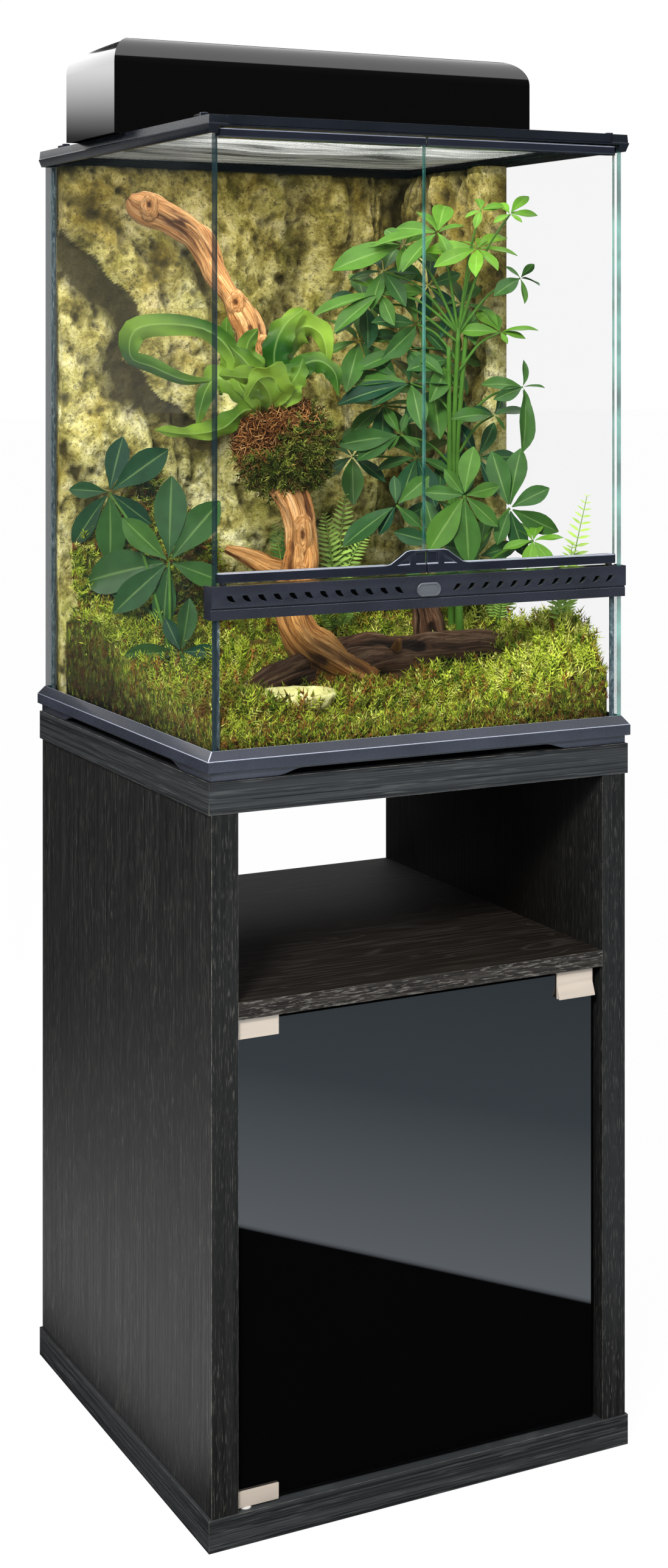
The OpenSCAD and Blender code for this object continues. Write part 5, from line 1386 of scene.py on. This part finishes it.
def low_ferns():
    """Upright fronds of many small leaflets; each frond is (foot, tip, tint) in mm."""
    steps, first_leaflet, room = 17, 3, 216
    rng = random.Random(31)
    template, across = leaf_shape(0.35, 0.12, fold=0.05, droop=0.1, steps=3)
    fronds = [((28, 20, 846), (36, 14, 946), 0.9), ((26, 20, 846), (12, 16, 926), 0.8),
              ((30, 18, 846), (62, 12, 908), 0.75), ((32, 20, 846), (46, 2, 874), 0.95),
              ((-14, 60, 850), (-30, 52, 914), 0.12), ((-12, 60, 850), (-8, 50, 928), 0.1),
              ((-12, 58, 850), (10, 50, 900), 0.15), ((44, 52, 830), (66, 40, 900), 0.3),
              ((44, 52, 830), (40, 44, 905), 0.25)]
    foot = foot_on_ground(184, -176)
    fronds += [(foot, (206, -192, 952), 0.95), (foot, (186, -196, 905), 0.8), (foot, (208, -160, 890), 0.7),
               (foot, (168, -190, 880), 0.6)]
    fronds += spray(foot_on_ground(180, -60), 0.5,
                    ((-26, -16, 46), (18, -22, 52), (28, 10, 40), (-10, -30, 40), (2, 22, 50)))
    fronds += spray(foot_on_ground(44, 52), 0.3, ((-30, -22, 36), (32, -12, 40), (4, -34, 38)))
    frames, tints, lines = [], [], []
    for base, tip, tint in fronds:
        base, tip = Vector(base), Vector(tip)
        reach = (tip - base).length
        mid = base.lerp(tip, 0.5) + Vector((0, 0, 0.08 * reach)) - 0.06 * reach * AHEAD
        stops = [tuple(base), tuple(mid), tuple(tip)]
        lines.append((stops, 0.9, 0.4))
        path = curve_points(stops, steps)
        for i in range(first_leaflet, steps):
            at = Vector(path[i])
            ahead = Vector(path[min(i + 1, steps - 1)] - path[i - 1]).normalized()
            side = ahead.cross(AHEAD).normalized()
            length = min(15, 0.17 * reach) * math.sin(math.pi * (0.22 + 0.76 * i / steps)) ** 0.8
            for s in (-1, 1):
                along = s * side + 0.45 * ahead + 0.12 * rng.uniform(-1, 1) * AHEAD
                up = -AHEAD + 0.3 * Vector((rng.uniform(-1, 1), 0, 1))
                if at.x + length * along.x > room:
                    length = max(3, (room - at.x) / max(0.2, along.x))
                frames.append(leaf_frame(at * MM, along, up, length * MM))
                tints.append(clamp(tint + rng.uniform(-0.2, 0.2)))
    fern = finish_of["fern_leaf"]
    copies("fern_leaflets", template, frames, fern, tints, extra={"across": across},
           crease=THIN)
    stems("fern_stalks", lines, fern, "ground_ferns")


def lock_bezel():
    """Oval plate with a raised rim round a bare sunk middle."""
    low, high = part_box("lock_plate")
    centre = (low + high) / 2
    half_w, half_h, depth = (high.x - low.x) / 2, (high.z - low.z) / 2, high.y - low.y
    bevel, rim_width, inner_bevel, sunk = 0.0004, 0.0011, 0.0003, 0.6
    bm = bmesh.new()
    bmesh.ops.create_circle(bm, segments=64, radius=1.0, cap_ends=True)
    for v in bm.verts:
        a = math.atan2(v.co.y, v.co.x)
        x = math.copysign(half_w - half_h, math.cos(a)) if abs(math.cos(a)) > 0.02 else 0
        v.co = (x + half_h * math.cos(a), high.y, half_h * math.sin(a))
    grown = bmesh.ops.extrude_face_region(bm, geom=bm.faces[:])["geom"]
    front = [f for f in grown if isinstance(f, bmesh.types.BMFace)]

    def move_front(y):
        for v in {v for f in front for v in f.verts}:
            v.co.y = y

    def inset(width):
        bmesh.ops.inset_region(bm, faces=front, thickness=width, depth=0.0)

    move_front(low.y + bevel)
    inset(bevel)
    move_front(low.y)
    inset(rim_width)
    inset(inner_bevel)
    move_front(low.y + sunk * depth)
    bmesh.ops.translate(bm, verts=bm.verts, vec=(centre.x, 0, centre.z))
    bmesh.ops.recalc_face_normals(bm, faces=bm.faces)
    rim = Finish("bezel_metal", (0.32, 0.34, 0.38), 0.25, metal=0.8).material
    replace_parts(finished("lock_bezel", bm, rim, smooth=False), "lock_plate")


# ---------------------------------------------------------------- stage and light

def stage_card(name, corners, material):
    """Flat stage piece from a corner and the two next to it."""
    a, b, c = (Vector(p) for p in corners)
    bm = bmesh.new()
    bmesh.ops.create_grid(bm, x_segments=1, y_segments=1, size=0.5)
    for v in bm.verts:
        v.co = a + (v.co.x + 0.5) * (b - a) + (v.co.y + 0.5) * (c - a)
    mesh = mesh_of(name, bm)
    mesh.materials.append(material)
    obj = bpy.data.objects.new(name, mesh)
    bpy.context.scene.collection.objects.link(obj)
    return obj


def glow_card(name, corners, stops, origin, axis, span, strength):
    """Card seen only in reflections; its glow runs through the stops along an axis from an origin."""
    f = Finish(name, (0, 0, 0), 1.0, shine=0)
    here = f.node("ShaderNodeTexCoord").outputs["Object"]
    away = f.node("ShaderNodeVectorMath", {0: here, 1: origin}, operation="SUBTRACT").outputs[0]
    run = f.node("ShaderNodeVectorMath", {0: away, 1: axis}, operation="DOT_PRODUCT").outputs["Value"]
    f.feed("Emission Color", f.ramp(f.math("DIVIDE", run, span), *stops))
    f.feed("Emission Strength", strength)
    obj = stage_card(name, corners, f.material)
    obj.visible_camera = obj.visible_diffuse = obj.visible_shadow = obj.visible_transmission = False


def area_light(name, at, aim, size, power, colour=(1, 1, 1)):
    """Rectangular light that looks from its place at its aim and shows in no reflection."""
    data = bpy.data.lights.new(name, "AREA")
    data.shape = "RECTANGLE"
    data.size, data.size_y = size
    data.energy = power
    data.color = colour
    obj = bpy.data.objects.new(name, data)
    obj.location = at
    obj.rotation_euler = (Vector(aim) - Vector(at)).to_track_quat("-Z", "Y").to_euler()
    obj.visible_glossy = False
    bpy.context.scene.collection.objects.link(obj)


def make_world():
    """White for the camera and through glass, a soft fill for matt faces, a bright top for shiny ones."""
    world = bpy.data.worlds.new("studio")
    bpy.context.scene.world = world
    world.use_nodes = True
    w = Nodes(world.node_tree)

    def background(colour, strength):
        return w.node("ShaderNodeBackground", {"Color": colour, "Strength": strength}).outputs[0]

    ray = w.node("ShaderNodeLightPath").outputs
    up = w.along("Z", w.node("ShaderNodeTexCoord").outputs["Generated"])
    lift = w.node("ShaderNodeMapRange", {"From Min": -1, "Value": up}).outputs[0]
    sky = w.ramp(lift, (0.0, 0.01), (0.5, 0.008), (0.735, 0.02), (0.755, 0.44), (1.0, 0.44))
    white = background((1.0, 1.0, 1.0), 1.0)
    seen = w.blend(ray["Is Glossy Ray"], background((0.95, 0.98, 1.0), 0.55), background(sky, 2.2))
    seen = w.blend(ray["Is Transmission Ray"], seen, white)
    seen = w.blend(ray["Is Camera Ray"], seen, white)
    w.put(seen, w.tree.nodes["World Output"].inputs["Surface"])


def make_floor():
    """Floor that is nearly white to the camera and takes soft shadows."""
    half, drop, camera_share = 30, 0.0005, 0.97
    f = Finish("floor", (0.9, 0.9, 0.9), 1.0, shine=0.0)
    glow = f.node("ShaderNodeEmission", {"Color": (1, 1, 1)}).outputs[0]
    share = f.math("MULTIPLY", f.node("ShaderNodeLightPath").outputs["Is Camera Ray"], camera_share)
    seen = f.blend(share, f.shader.outputs[0], glow)
    f.put(seen, f.tree.nodes["Material Output"].inputs["Surface"])
    obj = stage_card("floor", [(-half, -half, 0), (half, -half, 0), (-half, half, 0)], f.material)
    obj.location.z = -drop
    obj.visible_glossy = False


def make_light():
    make_world()
    make_floor()
    area_light("key", (-2.2, -2.6, 2.9), (0, 0, 0.9), (0.8, 0.8), 215, (1, 0.98, 0.95))
    area_light("right_fill", (2.4, -2.0, 2.0), (0, 0, 0.9), (1.6, 1.6), 22)
    area_light("inside", (-0.01, -0.02, 1.292), (-0.01, 0, 0.8), (0.41, 0.37), 1.9, (1, 0.97, 0.9))
    height = 0.001                 # of the cards on the floor
    # the floor's glow in front of the cabinet starts at a slanted line through two points
    left, right = Vector((0.112, -0.893, 0)), Vector((0.379, -0.507, 0))
    away = Vector((right.y - left.y, left.x - right.x, 0)).normalized()
    glow_card("floor_glow", [(-3, -6, height), (9, -6, height), (-3, -0.25, height)],
              [(0.0, 0.0), (0.02, 0.0), (0.025, (0.9, 1.0, 1.1)), (0.3, (0.34, 0.42, 0.48)),
               (1.0, (0.16, 0.2, 0.23))], tuple(left - 0.04 * away), tuple(away), 2.0, 1.25)
    glow_card("hood_end_glow", [(-1.6, 0.8, 1.0), (0.4, 1.5, 1.0), (-1.6, 0.8, 1.9)],
              [(0.0, 0.3), (0.2, 0.2), (0.36, 0.015), (0.47, 0.03), (0.5, 0.2), (0.585, 0.95), (1.0, 1.0)],
              (0, 0, 1.0), (0, 0, 1), 0.9, 2.2)
    glow_card("side_floor_glow", [(-3.5, -0.1, height), (-0.28, -0.1, height), (-3.5, 3.0, height)],
              [(0.0, 1.0), (0.16, 0.8), (0.42, 0.06), (1.0, 0.0)], (0, 0, 0), (0, 1, 0), 3.0, 1.0)


screen_mesh()
rock_background()
ground_surface()
moss_sprigs()
driftwood()
bark_log()
stone_dish()
moss_ball()
umbrella_plants()
strap_fern()
low_ferns()
lock_bezel()
make_camera()
make_light()

scene = bpy.context.scene
scene.view_settings.view_transform = "Standard"
scene.view_settings.look = "None"
scene.render.film_transparent = False
